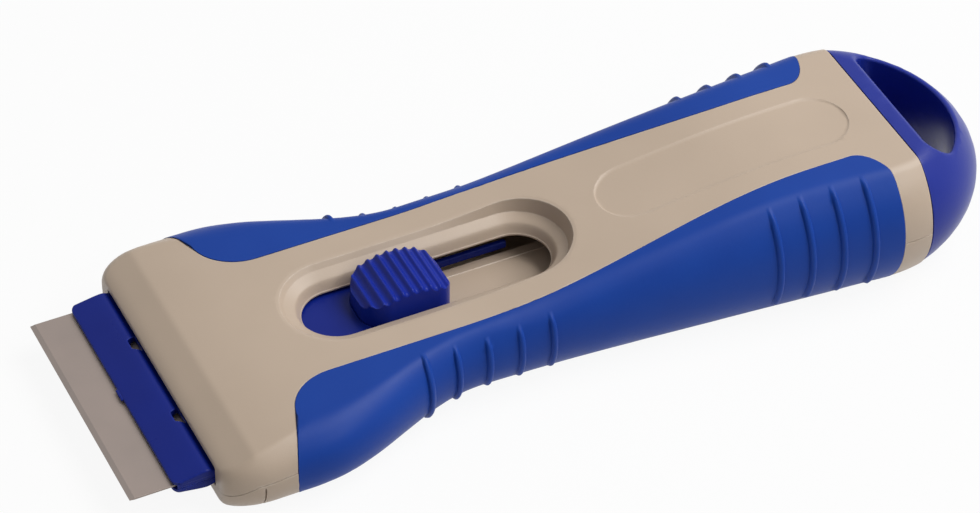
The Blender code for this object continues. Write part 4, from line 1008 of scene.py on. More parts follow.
@dataclass
class SideGrips:
    """The two soft panels on the casing's sides, with their moulded ribs."""

    form: CasingForm
    thickness: float = 0.0011
    proud: float = 0.0001
    start: float = 0.0133
    corner_length: float = 0.0077
    edges: Point = (0.0132, 0.0094)
    edge_under: float = 0.0132
    edge_turn: Point = (0.05, 0.1)
    lean: float = 0.0029
    lean_length: float = 0.022
    end: float = 0.1128
    end_corner_length: float = 0.0043
    end_inset: float = 0.004
    front_inset: float = 0.0063
    rib_starts: Point = (0.0346, 0.0923)
    rib_counts: tuple[int, int] = (5, 4)
    rib_pitch: float = 0.0052
    rib_half_width: float = 0.00055
    rib_height: float = 0.0006
    rib_distances: Point = (0.0031, 0.0052)
    rib_taper: float = 0.0016
    rib_fade: float = 3.0
    rib_end_share: float = 0.55
    lip: float = 0.00006
    steps: int = 44
    end_steps: int = 16
    rib_steps: int = 11
    ribbed_steps: int = 78
    plain_steps: int = 50
    crowding: float = 0.8

    def __post_init__(self) -> None:
        """Keeps the half sections that have been worked out."""
        self.sections: dict[float, list[Point]] = {}

    def ribs(self) -> list[float]:
        """Returns the stations of the ribs."""
        return [s + i * self.rib_pitch for s, n in zip(self.rib_starts, self.rib_counts) for i in range(n)]

    def edge(self, x: float, margin: float, under: bool = False) -> float:
        """Distance of a long edge of the panel from the middle line.

        Args:
            x: the station.
            margin: how much the panel is grown all round.
            under: whether the edge is the one below.

        Returns:
            The distance along Y.
        """
        edge = self.edge_under if under else mix(*self.edges, ease(*self.edge_turn, x))
        front_tip = self.form.half_width(self.start) - self.front_inset
        back_tip = self.form.half_width(self.end) - self.end_inset
        front = 1 - quarter((x - self.start + margin) / (self.corner_length + margin))
        back = 1 - quarter((self.end + margin - x) / (self.end_corner_length + margin))
        return mix(mix(edge, front_tip, front), back_tip, back) - margin

    def stations(self, margin: float, ribbed: bool) -> list[float]:
        """Stations of a panel: close at its round ends and, with ribs, on each rib.

        Args:
            margin: how much the panel is grown all round.
            ribbed: whether the ribs are drawn.

        Returns:
            The stations in order.
        """
        shares = bunched(self.end_steps)[:-1]
        places = [self.start - margin + (self.corner_length + margin) * s for s in shares]
        places += [self.end + margin - (self.end_corner_length + margin) * s for s in shares]
        straight = (self.start + self.corner_length, self.end - self.end_corner_length)
        places += spread(*straight, self.ribbed_steps if ribbed else self.plain_steps)
        if ribbed:
            for rib in self.ribs():
                reach = self.rib_half_width
                places = [x for x in places if abs(x - rib) > reach]
                turns = spread(-math.pi / 2, math.pi / 2, self.rib_steps)
                places += [rib + reach * math.sin(turn) for turn in turns]
        return sorted(places)

    def girth_point(
        self, x: float, station: float, margin: float, share: float
    ) -> tuple[Vector, Vector, float]:
        """Point on the casing's side between the panel's two long edges.

        Args:
            x: the station whose edges bound the panel.
            station: the station whose cross-section is followed.
            margin: how much the panel is grown all round.
            share: share of the way from the upper edge to the lower one.

        Returns:
            The point (y, z), its outward normal and its distance from the nearer long edge.
        """
        if station not in self.sections:
            self.sections[station] = self.form.half_section(station)
        section = self.sections[station]
        middle = max(range(len(section)), key=lambda i: section[i][0])

        def clip(points: Sequence[Point], edge: float) -> list[Point]:
            """Returns the part of a line, followed outwards, that lies beyond the edge."""
            kept = [p for p in points if p[0] > edge]
            before = points[len(points) - len(kept) - 1]
            t = (edge - before[0]) / (kept[0][0] - before[0])
            return [(edge, mix(before[1], kept[0][1], t))] + kept

        upper = clip(section[: middle + 1], self.edge(x, margin))
        lower = clip(section[: middle - 1 : -1], self.edge(x, margin, under=True))
        path = [Vector(p) for p in upper + lower[::-1][1:]]
        lengths = [0.0]
        for a, b in zip(path, path[1:]):
            lengths.append(lengths[-1] + (b - a).length)
        target = lengths[-1] * share
        k = max(j for j in range(len(path) - 1) if lengths[j] <= target + HAIR or j == 0)
        t = (target - lengths[k]) / max(lengths[k + 1] - lengths[k], HAIR)
        before = path[max(k - 1, 0)]
        after = path[min(k + 2, len(path) - 1)]
        run = (after - before).normalized()
        return path[k].lerp(path[k + 1], t), Vector((-run.y, run.x)), min(target, lengths[-1] - target)

    def rise(self, x: float, distance: float, fall: float) -> float:
        """Height of the grip's face over the casing, with its ribs and its rounded lip.

        Args:
            x: the station.
            distance: distance from the nearer long edge.
            fall: the normal's height, from 1 upwards to -1 downwards.

        Returns:
            The height along the normal.
        """
        start = self.rib_distances[0 if x < self.form.waist_end + self.lean_length else 1]
        along = clamp((distance - start) / self.rib_taper)
        half = self.rib_half_width * mix(self.rib_end_share, 1, along)
        nearest = min(abs(x - rib) for rib in self.ribs())
        crown = math.sqrt(max(1 - (nearest / half) ** 2, 0.0))
        rib = self.rib_height * crown * quarter(along)
        border = min(distance, x - self.start, self.end - x)
        lip = self.lip * (1 - quarter(border / self.lip))
        return (self.proud + rib) * min(self.rib_fade * (1 + fall), 1.0) - lip

    def panel(self, side: Side, outside: float, inside: float, margin: float, ribbed: bool) -> BMesh:
        """A curved panel on one side of the casing.

        Args:
            side: the side of the tool.
            outside: how far it stands out, where it isn't ribbed.
            inside: how deep it reaches into the casing.
            margin: how much it is grown all round.
            ribbed: whether it is the grip itself, with its ribs.

        Returns:
            The closed panel.
        """
        rings = []
        count = self.steps if ribbed else self.steps // 2
        waves = [math.cos(math.pi * i / count) for i in range(count + 1)]
        shares = [0.5 - 0.5 * math.copysign(abs(wave) ** self.crowding, wave) for wave in waves]
        for x in self.stations(margin, ribbed):
            fade = 1 - ease(self.start, self.start + self.lean_length, x)
            outer = []
            inner = []
            for share in shares:
                station = x - self.lean * math.sin(math.pi * share) * fade
                point, normal, distance = self.girth_point(x, station, margin, share)
                height = self.rise(x, distance, normal.y) if ribbed else outside
                high = point + normal * height
                low = point - normal * inside
                outer.append(Vector((station, side.value * high.x, high.y)))
                inner.append(Vector((station, side.value * low.x, low.y)))
            rings.append(outer + inner[::-1])
        return loft(rings, ladder=True)

    def seat(self, side: Side) -> BMesh:
        """Returns the cutter of a grip's seat in the casing."""
        return self.panel(side, OVERRUN, self.form.recess_depth, CLEAR, False)

    def build(self, bench: Bench, finish: Finish) -> None:
        """Builds both grips."""
        for side in Side:
            node = f"grip_{side.name.lower()}"
            bm = self.panel(side, self.proud, self.thickness, 0.0, True)
            bench.lay(f"soft_{node}", bm, [finish], "housing", [node], sharp=50.0)


# Shells


@dataclass
class Shells:
    """The two shells of the casing, with the dish and its slot, the label recess and the mouth."""

    form: CasingForm
    grips: SideGrips
    parting_gap: float = 0.00012
    seam_gap: float = 0.00005
    seam_lip: float = 0.00006
    front_wall: float = 0.002
    channel_half_width: float = 0.0206
    channel_half_height: float = 0.00185
    channel_corner: float = 0.0003
    channel_length: float = 0.0235
    channel_flare: float = 0.00012
    slot_front: float = 0.0282
    slot_back: float = 0.0574
    slot_radius: float = 0.0053
    rim_bottom: float = 0.0026
    rim_top: float = 0.00288
    rim_lip: float = 0.00012
    ledge_height: float = 0.00455
    ledge_width: float = 0.00095
    ledge_slope: float = 0.00065
    ledge_ease: Point = (0.0002, 0.0003)
    dish_width: float = 0.003
    dish_skirt: float = 0.0013
    dish_foot: float = 0.0005
    dish_brim: Point = (0.0002, 0.0001)
    dish_flare: Point = (0.0024, 0.0003)
    dish_roundings: tuple[float, ...] = (0.0001, 0.0001, 0.0008, 0.0006, 0.0009, 0.0009, 0.00002)
    label_start: float = 0.071
    label_end: float = 0.113
    label_half_width: float = 0.0057
    label_depth: float = 0.0002
    label_end_ease: float = 0.0005
    label_slope: float = 0.0008
    label_slope_share: float = 0.6
    label_brim: tuple[Point, ...] = ((0.0003, 0.0006), (0.0002, 0.00008))
    label_shares: tuple[Point, ...] = ((0.0, 0.1), (0.5, 0.75), (1.0, 1.0))
    rack_pitch: float = 0.0015
    rack_depth: float = 0.0002
    rack_root: float = 0.0002
    rack_width: float = 0.0012
    barrel_room: tuple[float, float, float, float, float] = (0.0026, 0.0098, 0.0062, 0.0006, 0.0023)
    post: tuple[float, float, float, float] = (0.092, 0.0102, 0.0006, 0.0005)
    screw_places: tuple[Point, Point] = ((0.027, 0.0098), (0.072, 0.0098))
    boss_radius: float = 0.0021
    boss_root: float = 0.002
    head_bore_radius: float = 0.0021
    foot_radius: float = 0.0027
    foot_height: float = 0.0012
    foot_step: float = 0.0001
    screw_bore: float = 0.0012
    screw_bore_top: float = 0.003
    screw_sink: float = 0.0021
    rail: Point = (0.0315, 0.0765)
    rail_half: float = 0.0062
    rail_crease: float = 0.0044
    rail_top: float = -0.00105
    rail_step: float = 0.0002
    rail_edges: Point = (0.0002, 0.00012)
    rail_bead: float = 0.0001
    tray_start: float = 0.0785
    tray_end: float = 0.1055
    tray_shelf: float = -0.0043
    tray_half: float = 0.00955
    tray_rib: float = 0.0013
    tray_top: float = -0.0007
    groove_x: float = 0.0053
    groove_width: float = 0.00025
    groove_depth: float = 0.0003
    groove_fall: float = 0.0001
    far_below: float = -0.02

    def solid(self, above: bool) -> BMesh:
        """Returns the part of the casing's form on one side of the seam."""
        form = self.form
        lip = 0.0 if above else self.seam_lip
        body = Carving(loft([form.ring(x, form.rounding(x) - lip) for x in form.stations()]))
        line = form.seam_line(-self.seam_gap / 2 if above else self.seam_gap / 2)
        start = (-OVERRUN, line[0][1])
        end = (form.joint + OVERRUN, line[-1][1])
        far = form.tail_top * 2 if above else -form.belly_tail_depth * 2
        outline = [start, *line, end, (end[0], far), (start[0], far)]
        side = form.paddle_half_width + OVERRUN
        return body.keep(prism(outline, Lie.Y, -side, side)).baked()

    def cavity(self) -> BMesh:
        """Returns the inside of the casing, open at the tail."""
        form = self.form
        front = spread(self.front_wall, form.waist_start, 14)
        back = spread(form.waist_start, form.joint, 14)[1:]
        return loft([form.ring(x, form.skin) for x in [*front, *back, form.joint + OVERRUN]])

    def mouth(self) -> BMesh:
        """Returns the flat passage for the blade's holder, flared a little at the front."""
        flare = self.channel_flare
        places = [(flare * (1 - math.cos(a)), flare * (1 - math.sin(a))) for a in spread(0, math.pi / 2, 7)]
        rings = []
        for x, grow in ((-OVERRUN, flare), *places, (self.channel_length, 0)):
            half = self.channel_half_width + grow
            outline = rounded_plan(-half, half, self.channel_half_height + grow, self.channel_corner, steps=6)
            rings.append([Vector((x, u, v)) for u, v in outline])
        return loft(rings)

    def dish(self) -> BMesh:
        """Returns the cutter of the stepped dish, whose edges are rounded and whose rim follows the deck."""
        ledge = self.ledge_height
        inner = self.slot_radius + self.ledge_width
        outer = self.slot_radius + self.dish_width
        deck = self.form.deck_top
        brim_x, brim_fall = self.dish_brim
        flare_x, flare_rise = self.dish_flare
        ease_x, ease_fall = self.ledge_ease
        corners = [
            (self.slot_radius, self.rim_bottom - OVERRUN, 0),
            (self.slot_radius, self.rim_top, 0),
            (self.slot_radius + self.rim_lip, self.rim_top + self.rim_lip / 2, 0),
            (inner - ease_x, ledge - ease_fall, 0),
            (inner + ease_x, ledge, 0),
            (outer - self.dish_foot, ledge + self.ledge_slope, 0),
            (outer + brim_x, deck - brim_fall, 1),
            (outer + flare_x, deck + flare_rise, 1),
            (outer + flare_x, deck + OVERRUN, 1),
        ]
        profile = filleted(corners, self.dish_roundings, steps=7)
        rings = []
        for radius, z, share in profile:
            outline = stadium(self.slot_front, self.slot_back, radius)
            rings.append([Vector((x, y, z + share * (self.form.top(x) - deck))) for x, y in outline])
        return loft(rings)

    def skirt(self) -> BMesh:
        """Returns the solid stadium under the deck that the dish is cut from."""
        radius = self.slot_radius + self.dish_width + self.dish_skirt
        outline = stadium(self.slot_front, self.slot_back, radius, steps=16, along=8)
        depth = self.form.recess_depth + self.form.wall / 2
        lower = [Vector((x, y, self.rim_bottom)) for x, y in outline]
        return loft([lower, [Vector((x, y, self.form.top(x) - depth)) for x, y in outline]])

    def label(self) -> BMesh:
        """Returns the cutter of the shallow recess with round ends that follows the deck."""
        radius = self.label_half_width
        centres = (self.label_start + radius, self.label_end - radius)
        turns = spread(0, math.pi / 2, 19)[1:-1]
        stations = [centres[0] - radius * math.cos(a) for a in turns]
        stations += spread(*centres, 26)
        stations += [centres[1] + radius * math.cos(a) for a in reversed(turns)]
        rings = []
        for x in stations:
            over = max(centres[0] - x, x - centres[1], 0.0)
            half = math.sqrt(max(radius**2 - over**2, 0.0))
            depth = self.label_depth * quarter((radius - over) / self.label_end_ease)
            slope = min(self.label_slope, half * self.label_slope_share)
            line = [(half + out, up) for out, up in self.label_brim]
            line += [(half - slope * run, -depth * fall) for run, fall in self.label_shares]
            points = line + [(-y, z) for y, z in reversed(line)]
            rings.append([Vector((x, y, self.form.top(x) + dz)) for y, dz in points])
        return loft(rings)

    def racks(self) -> list[BMesh]:
        """Returns the combs of lock teeth under the slot's rim, one on each side."""
        count = int((self.slot_back - self.slot_front) / self.rack_pitch)
        root = self.rim_bottom + self.rack_root
        outline = [(self.slot_front, root)]
        for i in range(count):
            start = self.slot_front + i * self.rack_pitch
            tip = (start + self.rack_pitch / 2, self.rim_bottom - self.rack_depth)
            outline += [(start, self.rim_bottom), tip]
        end = self.slot_front + count * self.rack_pitch
        outline += [(end, self.rim_bottom), (end, root)]
        inner = self.slot_radius + GAP
        return [prism(outline, Lie.Y, *span) for span in mirrored(inner, inner + self.rack_width)]

    def hinge_room(self) -> BMesh:
        """Returns the room over the jaw plate's hinge, at the front end of the holder's travel."""
        front, back, half, bottom, top = self.barrel_room
        return block((front, -half, bottom), (back, half, top))

    def screw_sites(self) -> list[Point]:
        """Returns the places of the four screws."""
        return [(x, sign * y) for x, y in self.screw_places for sign in (-1, 1)]

    def nose_groove(self, side: Side) -> BMesh:
        """Returns the cutter of the short upright groove in the lower shell beside the mouth."""
        x = self.groove_x
        top = self.form.seam_heights[1] - self.groove_fall
        section = self.form.half_section(x, self.groove_depth)
        line = [(y, z) for y, z in section if z < top and y > self.channel_half_width]
        line += [(line[-1][0] + OVERRUN, self.far_below), (line[0][0] + 2 * OVERRUN, line[0][1])]
        return prism([(side.value * y, z) for y, z in line], Lie.X, x, x + self.groove_width)

    def started(self, above: bool) -> Carving:
        """Returns one half of the casing, with the seats of the grips, its inside and its mouth cut out."""
        seats = [self.grips.seat(side) for side in Side]
        return Carving(self.solid(above)).cut(*seats, self.cavity(), self.mouth())

    def build_upper(self, bench: Bench, finish: Finish) -> None:
        """Builds the upper shell."""
        form = self.form
        work = self.started(True).cut(self.hinge_room()).join(self.skirt())
        work.cut(self.dish(), self.label()).join(*self.racks())
        place, away, radius, foot = self.post
        crest = form.top(place) - form.recess_depth - form.wall / 2
        for side in Side:
            work.join(stacked(place, side.value * away, (crest, foot), (radius,), 20))
        for x, y in self.screw_sites():
            foot = form.parting(x + self.boss_radius) + self.parting_gap
            work.join(stacked(x, y, (form.top(x) - self.boss_root, foot), (self.boss_radius,)))
            work.cut(stacked(x, y, (self.screw_bore_top, foot - OVERRUN), (self.screw_bore,)))
        bench.lay("upper_casing", work.baked(), [finish], "housing", ["upper_shell"])

    def standing(self, start: float, end: float, top: float, span: Point) -> BMesh:
        """A bar that stands in the floor of the lower shell.

        Args:
            start: X of its front.
            end: X of its back.
            top: the level that it reaches.
            span: where it lies along Y.

        Returns:
            The closed bar.
        """
        root = self.form.recess_depth + self.form.wall / 2
        floor = [(x, self.form.belly(x) + root) for x in (start, end)]
        return prism([*floor, (end, top), (start, top)], Lie.Y, *span)

    def build_lower(self, bench: Bench, finish: Finish) -> None:
        """Builds the lower shell, with the middle rail and the tray of the spare blades."""
        form = self.form
        work = self.started(False)
        start, end = self.rail
        low = self.rail_top - self.rail_step
        bed_edge, crown_edge = self.rail_edges
        bed = self.standing(start, end, low, (-self.rail_half, self.rail_half))
        round_edges(bed, bed_edge)
        crease = self.rail_crease
        work.join(bed, block((start, -crease, low - bed_edge), (end, crease, self.rail_top), crown_edge))
        for side in Side:
            bead = circle(side.value * (crease - self.rail_bead), self.rail_top, self.rail_bead, 12)
            work.join(prism(bead, Lie.X, start + GAP, end - GAP))
        shelf = self.tray_half + GAP
        work.join(self.standing(self.tray_start, self.tray_end, self.tray_shelf, (-shelf, shelf)))
        for span in mirrored(self.tray_half, self.tray_half + self.tray_rib):
            work.join(self.standing(self.tray_start - self.tray_rib, self.tray_end, self.tray_top, span))
        for x, y in self.screw_sites():
            seat = form.belly(x) + self.screw_sink
            crest = form.parting(x - self.boss_radius) - self.parting_gap
            step = min(seat + self.foot_height, crest - self.foot_step)
            root = form.belly(x) + form.recess_depth + form.wall / 2
            work.join(stacked(x, y, (crest, step, root), (self.boss_radius, self.foot_radius)))
            bore = (self.screw_bore, self.head_bore_radius)
            work.cut(stacked(x, y, (crest + OVERRUN, seat, self.far_below), bore))
        work.cut(*(self.nose_groove(side) for side in Side))
        bench.lay("lower_casing", work.baked(), [finish], "housing", ["lower_shell"])


# Tail cap


@dataclass
class HangCap:
    """The round end of the handle, with its D-shaped hole and the sleeve that plugs into the casing."""

    form: CasingForm
    front: float = 0.11798
    sleeve_start: float = 0.1074
    sleeve_mouth: float = 0.11850
    wall: float = 0.0015
    room_end: float = 0.1199
    top_fall: float = 0.0008
    belly_rise: float = 0.0004
    shoulder: float = 0.0071
    keel: float = 0.004
    side_radius: float = 0.0103
    side_middle: float = 0.0008
    hole_chord: float = 0.1212
    hole_radius: float = 0.0166
    hole_corner: float = 0.0024
    hole_waist: float = 0.0008
    hole_waist_height: float = 0.0008
    hole_edge: float = 0.0012
    hole_overlap_share: float = 0.03
    rim_edge: float = 0.0005
    sweep: float = math.radians(100)
    sweep_steps: int = 84
    hole_turns: tuple[int, ...] = (78, 66, 54, 42, 30, 18, 6)
    arc_steps: int = 49
    corner_steps: int = 13
    chord_steps: int = 25

    def share(self, x: float) -> float:
        """Returns the share of the way from the joint to the end of the tail."""
        return clamp((x - self.form.joint) / (self.form.tail_end - self.form.joint))

    def height(self, x: float, z: float) -> float:
        """Returns the height of a point once the top falls and the underside rises towards the tail."""
        if z > 0:
            return z * (1 - self.share(x) * self.top_fall / self.form.tail_top)
        return z * (1 - self.share(x) * self.belly_rise / self.form.belly_tail_depth)

    def line(self, angle: float) -> list[Point]:
        """Returns (radius, height) points of the cap in an upright plane at an angle to the middle line."""
        form = self.form
        share = self.share(form.tail_centre + form.tail_radius * math.cos(angle))
        turn = min(2 * share, 1.0)
        line = section_line(
            form.tail_radius,
            form.tail_top,
            -form.belly_tail_depth,
            mix(form.side_radii[1], self.side_radius, share),
            mix(form.shoulder_radii[2], self.shoulder, turn),
            mix(form.keel_radii[1], self.keel, turn),
            mix(form.side_middles[1], self.side_middle, share),
            steps=(6, 12, 14),
        )
        return [(r, self.height(form.tail_centre + r * math.cos(angle), z)) for r, z in line]

    def surface(self, x: float, y: float, top: bool) -> float:
        """Height of the cap's outside over or under a place.

        Args:
            x: X of the place.
            y: Y of the place.
            top: whether the upper side is asked for.

        Returns:
            The height.
        """
        away = Vector((x - self.form.tail_centre, y))
        line = self.line(math.atan2(away.y, away.x))
        widest = max(range(len(line)), key=lambda i: line[i][0])
        half = line[: widest + 1] if top else line[:widest - 1:-1]
        for (r0, z0), (r1, z1) in zip(half, half[1:]):
            if r0 <= away.length <= r1 and r1 > r0:
                return mix(z0, z1, (away.length - r0) / (r1 - r0))
        return half[-1][1]

    def hole_outline(self, grow: float) -> list[Point]:
        """Returns the D-shaped outline of the hole, grown outwards by a distance."""
        centre = self.form.tail_centre
        radius = self.hole_radius + grow
        chord = self.hole_chord - grow - centre
        corner = self.hole_corner + grow
        x = chord + corner
        y = math.sqrt(max((radius - corner) ** 2 - x**2, 0.0))
        meet = math.atan2(y, x)
        points = arc(0, 0, radius, spread(-meet, meet, self.arc_steps))
        points += arc(x, y, corner, spread(meet, math.pi, self.corner_steps)[1:])
        points += [(chord, v) for v in spread(y, -y, self.chord_steps)[1:-1]]
        points += arc(x, -y, corner, spread(math.pi, 2 * math.pi - meet, self.corner_steps)[:-1])
        return [(centre + u, v) for u, v in points]

    def hole(self) -> BMesh:
        """Returns the hole's cutter, flared into rounded edges that follow the outside."""
        edge = self.hole_edge
        rings = []
        for top in (True, False):
            sign = 1 if top else -1
            level = sign * (OVERRUN + (self.form.tail_top if top else self.form.belly_tail_depth))
            part = [[Vector((x, y, level)) for x, y in self.hole_outline(edge)]]
            for turn in map(math.radians, self.hole_turns):
                grow = edge * (1 - math.cos(turn))
                sink = sign * edge * (1 - math.sin(turn) - self.hole_overlap_share)
                outline = self.hole_outline(grow)
                part.append([Vector((x, y, self.surface(x, y, top) - sink)) for x, y in outline])
            if top:
                waist = self.hole_outline(-self.hole_waist)
                part.append([Vector((x, y, self.hole_waist_height)) for x, y in waist])
            rings += part if top else part[::-1]
        return loft(rings)

    def build(self, bench: Bench, finish: Finish) -> None:
        """Builds the cap."""
        form = self.form
        rings = []
        for angle in spread(-self.sweep, self.sweep, self.sweep_steps + 1):
            cos, sin = math.cos(angle), math.sin(angle)
            rings.append([Vector((form.tail_centre + r * cos, r * sin, z)) for r, z in self.line(angle)])
        bm = loft(rings)
        cut = bmesh.ops.bisect_plane(
            bm,
            geom=bm.verts[:] + bm.edges[:] + bm.faces[:],
            plane_co=(self.front, 0, 0),
            plane_no=(-1, 0, 0),
            clear_outer=True,
        )
        rim = [e for e in cut["geom_cut"] if isinstance(e, BMEdge)]
        bmesh.ops.contextual_create(bm, geom=rim)
        bmesh.ops.recalc_face_normals(bm, faces=bm.faces)
        inner = [e for e in bm.edges if len(e.link_faces) == 2]
        around = [e for e in inner if all(abs(v.co.x - self.front) < HAIR for v in e.verts)]
        bevel(bm, around, self.rim_edge, 4)
        mouth = form.half_width(self.sleeve_mouth)
        stations = spread(self.sleeve_start, self.front + 2 * GAP + self.rim_edge, 8)
        work = Carving(bm).join(loft([form.ring(x, form.skin + GAP, mouth) for x in stations]))
        stations = (self.sleeve_start - OVERRUN, form.joint - OVERRUN, self.room_end)
        work.cut(loft([form.ring(x, form.skin + GAP + self.wall, mouth) for x in stations]), self.hole())
        bench.lay("hanging_cap", work.baked(), [finish], "cap", ["tail_cap"], sharp=40.0)


# Blade and its holder


@dataclass
class BladeHolder:
    """The blade, the jaw plate over it, and the carrier with its lower jaw, slide and rear arms."""

    blade_width: float = 0.0395
    blade_thickness: float = 0.0003
    blade_front: float = -0.0127
    blade_back: float = 0.006
    blade_bevel: float = 0.0008
    blade_tip_share: float = 0.15
    blade_edge: float = 0.00004
    jaw_front: float = -0.0062
    jaw_half: float = 0.0205
    jaw_low: float = 0.00045
    jaw_top: float = 0.0017
    jaw_lip: float = 0.0004
    jaw_lip_foot: float = 0.00012
    jaw_crown: Point = (-0.0022, -0.0010)
    jaw_crown_rise: float = 0.00012
    jaw_fall_end: float = 0.0005
    jaw_fall: float = 0.0006
    jaw_roundings: tuple[float, ...] = (0.0004, 0.0008, 0.0005, 0.0006)
    jaw_corner: float = 0.0014
    end_round: float = 0.0003
    end_fall_share: float = 0.6
    end_wall: float = 0.0004
    end_wall_inset: float = 0.0006
    end_seam: float = -0.00015
    end_gap: float = 0.00012
    wall_back: float = 0.0075
    wall_edge: float = 0.0002
    wall_depth: float = 0.0004
    nib_half: float = 0.0012
    nib_reach: float = 0.00035
    nib_fall: float = 0.00005
    nib_edge: float = 0.00018
    window_spread: float = 0.0083
    window_half: float = 0.0017
    window_taper: float = 0.0007
    window_depth: float = 0.0014
    window_corner: float = 0.00015
    tongue_half: float = 0.0058
    tongue_root: float = 0.0012
    pin_x: float = 0.0098
    pin_z: float = 0.00065
    pin_radius: float = 0.0006
    pin_bite: float = 0.0009
    barrel_radius: float = 0.0013
    slide_start: float = 0.0114
    slide_end: float = 0.0438
    slide_half: float = 0.0074
    slide_top: float = 0.0021
    slide_bottom: float = -0.00075
    slide_corner: float = 0.0007
    slide_edge: float = 0.00025
    deck_inset: float = 0.0001
    skirt_bottom: float = -0.0015
    skirt_inset: float = 0.0002
    arm_width: float = 0.00095
    arm_inset: float = 0.00005
    arm_root: float = 0.0008
    arm_end: float = 0.059
    arm_top: float = 0.0003
    arm_bottom: float = -0.001
    pocket: tuple[float, float, float, float] = (0.0309, 0.0463, 0.0067, -0.0002)
    pocket_top: float = 0.0018
    knob_gap: float = 0.00015

    def jaw_profile(self, back: float) -> list[Point]:
        """Returns the outer face of a jaw: a rounded lip, a slow crown and a rounded back edge."""
        top = self.jaw_top
        crown_start, crown_end = self.jaw_crown
        corners = [
            (self.jaw_front, self.jaw_low + self.jaw_lip_foot),
            (self.jaw_front, self.jaw_low + self.jaw_lip),
            (crown_start, top - self.jaw_crown_rise),
            (crown_end, top),
            (self.jaw_fall_end, top - self.jaw_fall),
            (back, top - self.jaw_fall),
        ]
        return filleted(corners, self.jaw_roundings, steps=6)

    def jaw(self, sign: int, back: float) -> Carving:
        """A jaw drawn across the tool, whose outer face falls away at both ends.

        Args:
            sign: 1 for the upper jaw and -1 for the lower one.
            back: X of its back edge.

        Returns:
            The jaw under work, with round corners and the walls that close over the blade's ends.
        """
        half = self.jaw_half
        profile = self.jaw_profile(back)
        rings = []
        for y in across(half, self.end_round, 10, 13):
            fall = 1 - quarter((half - abs(y)) / self.end_round)
            ring = []
            for x, z in profile:
                drop = min(self.end_round, (z - self.jaw_low) * self.end_fall_share) * fall
                ring.append(Vector((x, y, sign * (z - drop))))
            rings.append(ring + [Vector((x, y, sign * self.jaw_low)) for x in (back, self.jaw_front)])
        plan = rounded_plan(self.jaw_front - HAIR, back + OVERRUN, half, self.jaw_corner)
        work = Carving(loft(rings)).keep(prism(plan, Lie.Z, -2 * OVERRUN, 2 * OVERRUN))
        levels = sorted((sign * (self.jaw_low + self.jaw_lip / 2), self.end_seam + sign * self.end_gap / 2))
        front = self.jaw_front + self.end_wall_inset
        for low, high in mirrored(half - self.end_wall, half - HAIR * 10):
            work.join(block((front, low, levels[0]), (self.blade_back, high, levels[1])))
        return work

    def build_jaw(self, bench: Bench, finish: Finish) -> None:
        """Builds the upper jaw plate with its nib, notches and hinge barrel."""
        work = self.jaw(1, self.blade_back)
        lip = self.jaw_low + self.jaw_lip
        work.join(block((self.jaw_front - self.nib_reach, -self.nib_half, self.jaw_low + HAIR),
                        (self.jaw_front + self.jaw_lip, self.nib_half, lip - self.nib_fall), self.nib_edge))
        work.join(block((self.blade_back - self.tongue_root, -self.tongue_half, self.jaw_low + HAIR * 5),
                        (self.pin_x, self.tongue_half, self.jaw_top - HAIR * 5)))
        work.join(cross_rod(self.pin_x, self.pin_z, self.barrel_radius, self.tongue_half - HAIR * 5))
        work.cut(cross_rod(self.pin_x, self.pin_z, self.pin_radius + GAP / 3, self.tongue_half + OVERRUN))
        narrow = self.window_half - self.window_taper
        shape = ((-self.window_depth, -narrow), (0, -self.window_half), (0, self.window_half),
                 (-self.window_depth, narrow))
        for side in Side:
            centre = side.value * self.window_spread
            window = prism([(x, centre + y) for x, y in shape], Lie.Z, -OVERRUN, 2 * OVERRUN)
            bevel(window, [e for e in window.edges if abs(e.verts[0].co.z - e.verts[1].co.z) > OVERRUN],
                  self.window_corner)
            work.cut(window)
        bench.lay("jaw_plate", work.baked(), [finish], "carrier", ["blade_clamp"])

    def build_carrier(self, bench: Bench, finish: Finish, knob_plan: Sequence[Point]) -> None:
        """Builds the carrier: lower jaw, back wall, slide with the knob's pocket and rear arms.

        Args:
            bench: where the piece is laid.
            finish: its finish.
            knob_plan: outline of the opening that the knob stands in.
        """
        work = self.jaw(-1, self.wall_back)
        wall_front = self.blade_back + GAP
        across = self.jaw_half - self.wall_edge
        work.join(block((wall_front, -across, -self.jaw_low - self.wall_depth),
                        (self.wall_back - HAIR * 3, across, self.jaw_top), self.wall_edge))
        plan = rounded_plan(wall_front + GAP, self.slide_end, self.slide_half, self.slide_corner)
        inset = self.deck_inset
        work.join(prism(plan, Lie.Z, self.slide_bottom, self.jaw_top - inset))
        deck_half = self.slide_half - inset
        plan = rounded_plan(self.slide_start + inset, self.slide_end - inset, deck_half, self.slide_corner)
        deck = prism(plan, Lie.Z, 0, self.slide_top)
        round_edges(deck, self.slide_edge)
        work.join(deck)
        for low, high in mirrored(self.slide_half - self.arm_width, self.slide_half - self.arm_inset):
            work.join(block((wall_front + GAP * 2, low, self.skirt_bottom),
                            (self.slide_end - self.skirt_inset, high, 0.0)))
            work.join(block((self.slide_end - self.arm_root, low, self.arm_bottom),
                            (self.arm_end, high, self.arm_top), self.slide_edge))
        room = self.tongue_half + GAP
        floor = self.pin_z - self.barrel_radius - GAP
        work.cut(block((wall_front - GAP, -room, floor), (self.slide_start, room, self.slide_top + OVERRUN)))
        work.cut(cross_rod(self.pin_x, self.pin_z, self.pin_radius + GAP / 3, room + self.pin_bite))
        front, back, half, bottom = self.pocket
        work.cut(block((front, -half, bottom), (back, half, self.pocket_top)))
        work.cut(prism(knob_plan, Lie.Z, self.pocket_top - GAP, self.slide_top + OVERRUN))
        bench.lay("blade_slide", work.baked(), [finish], "carrier", ["blade_carrier"])

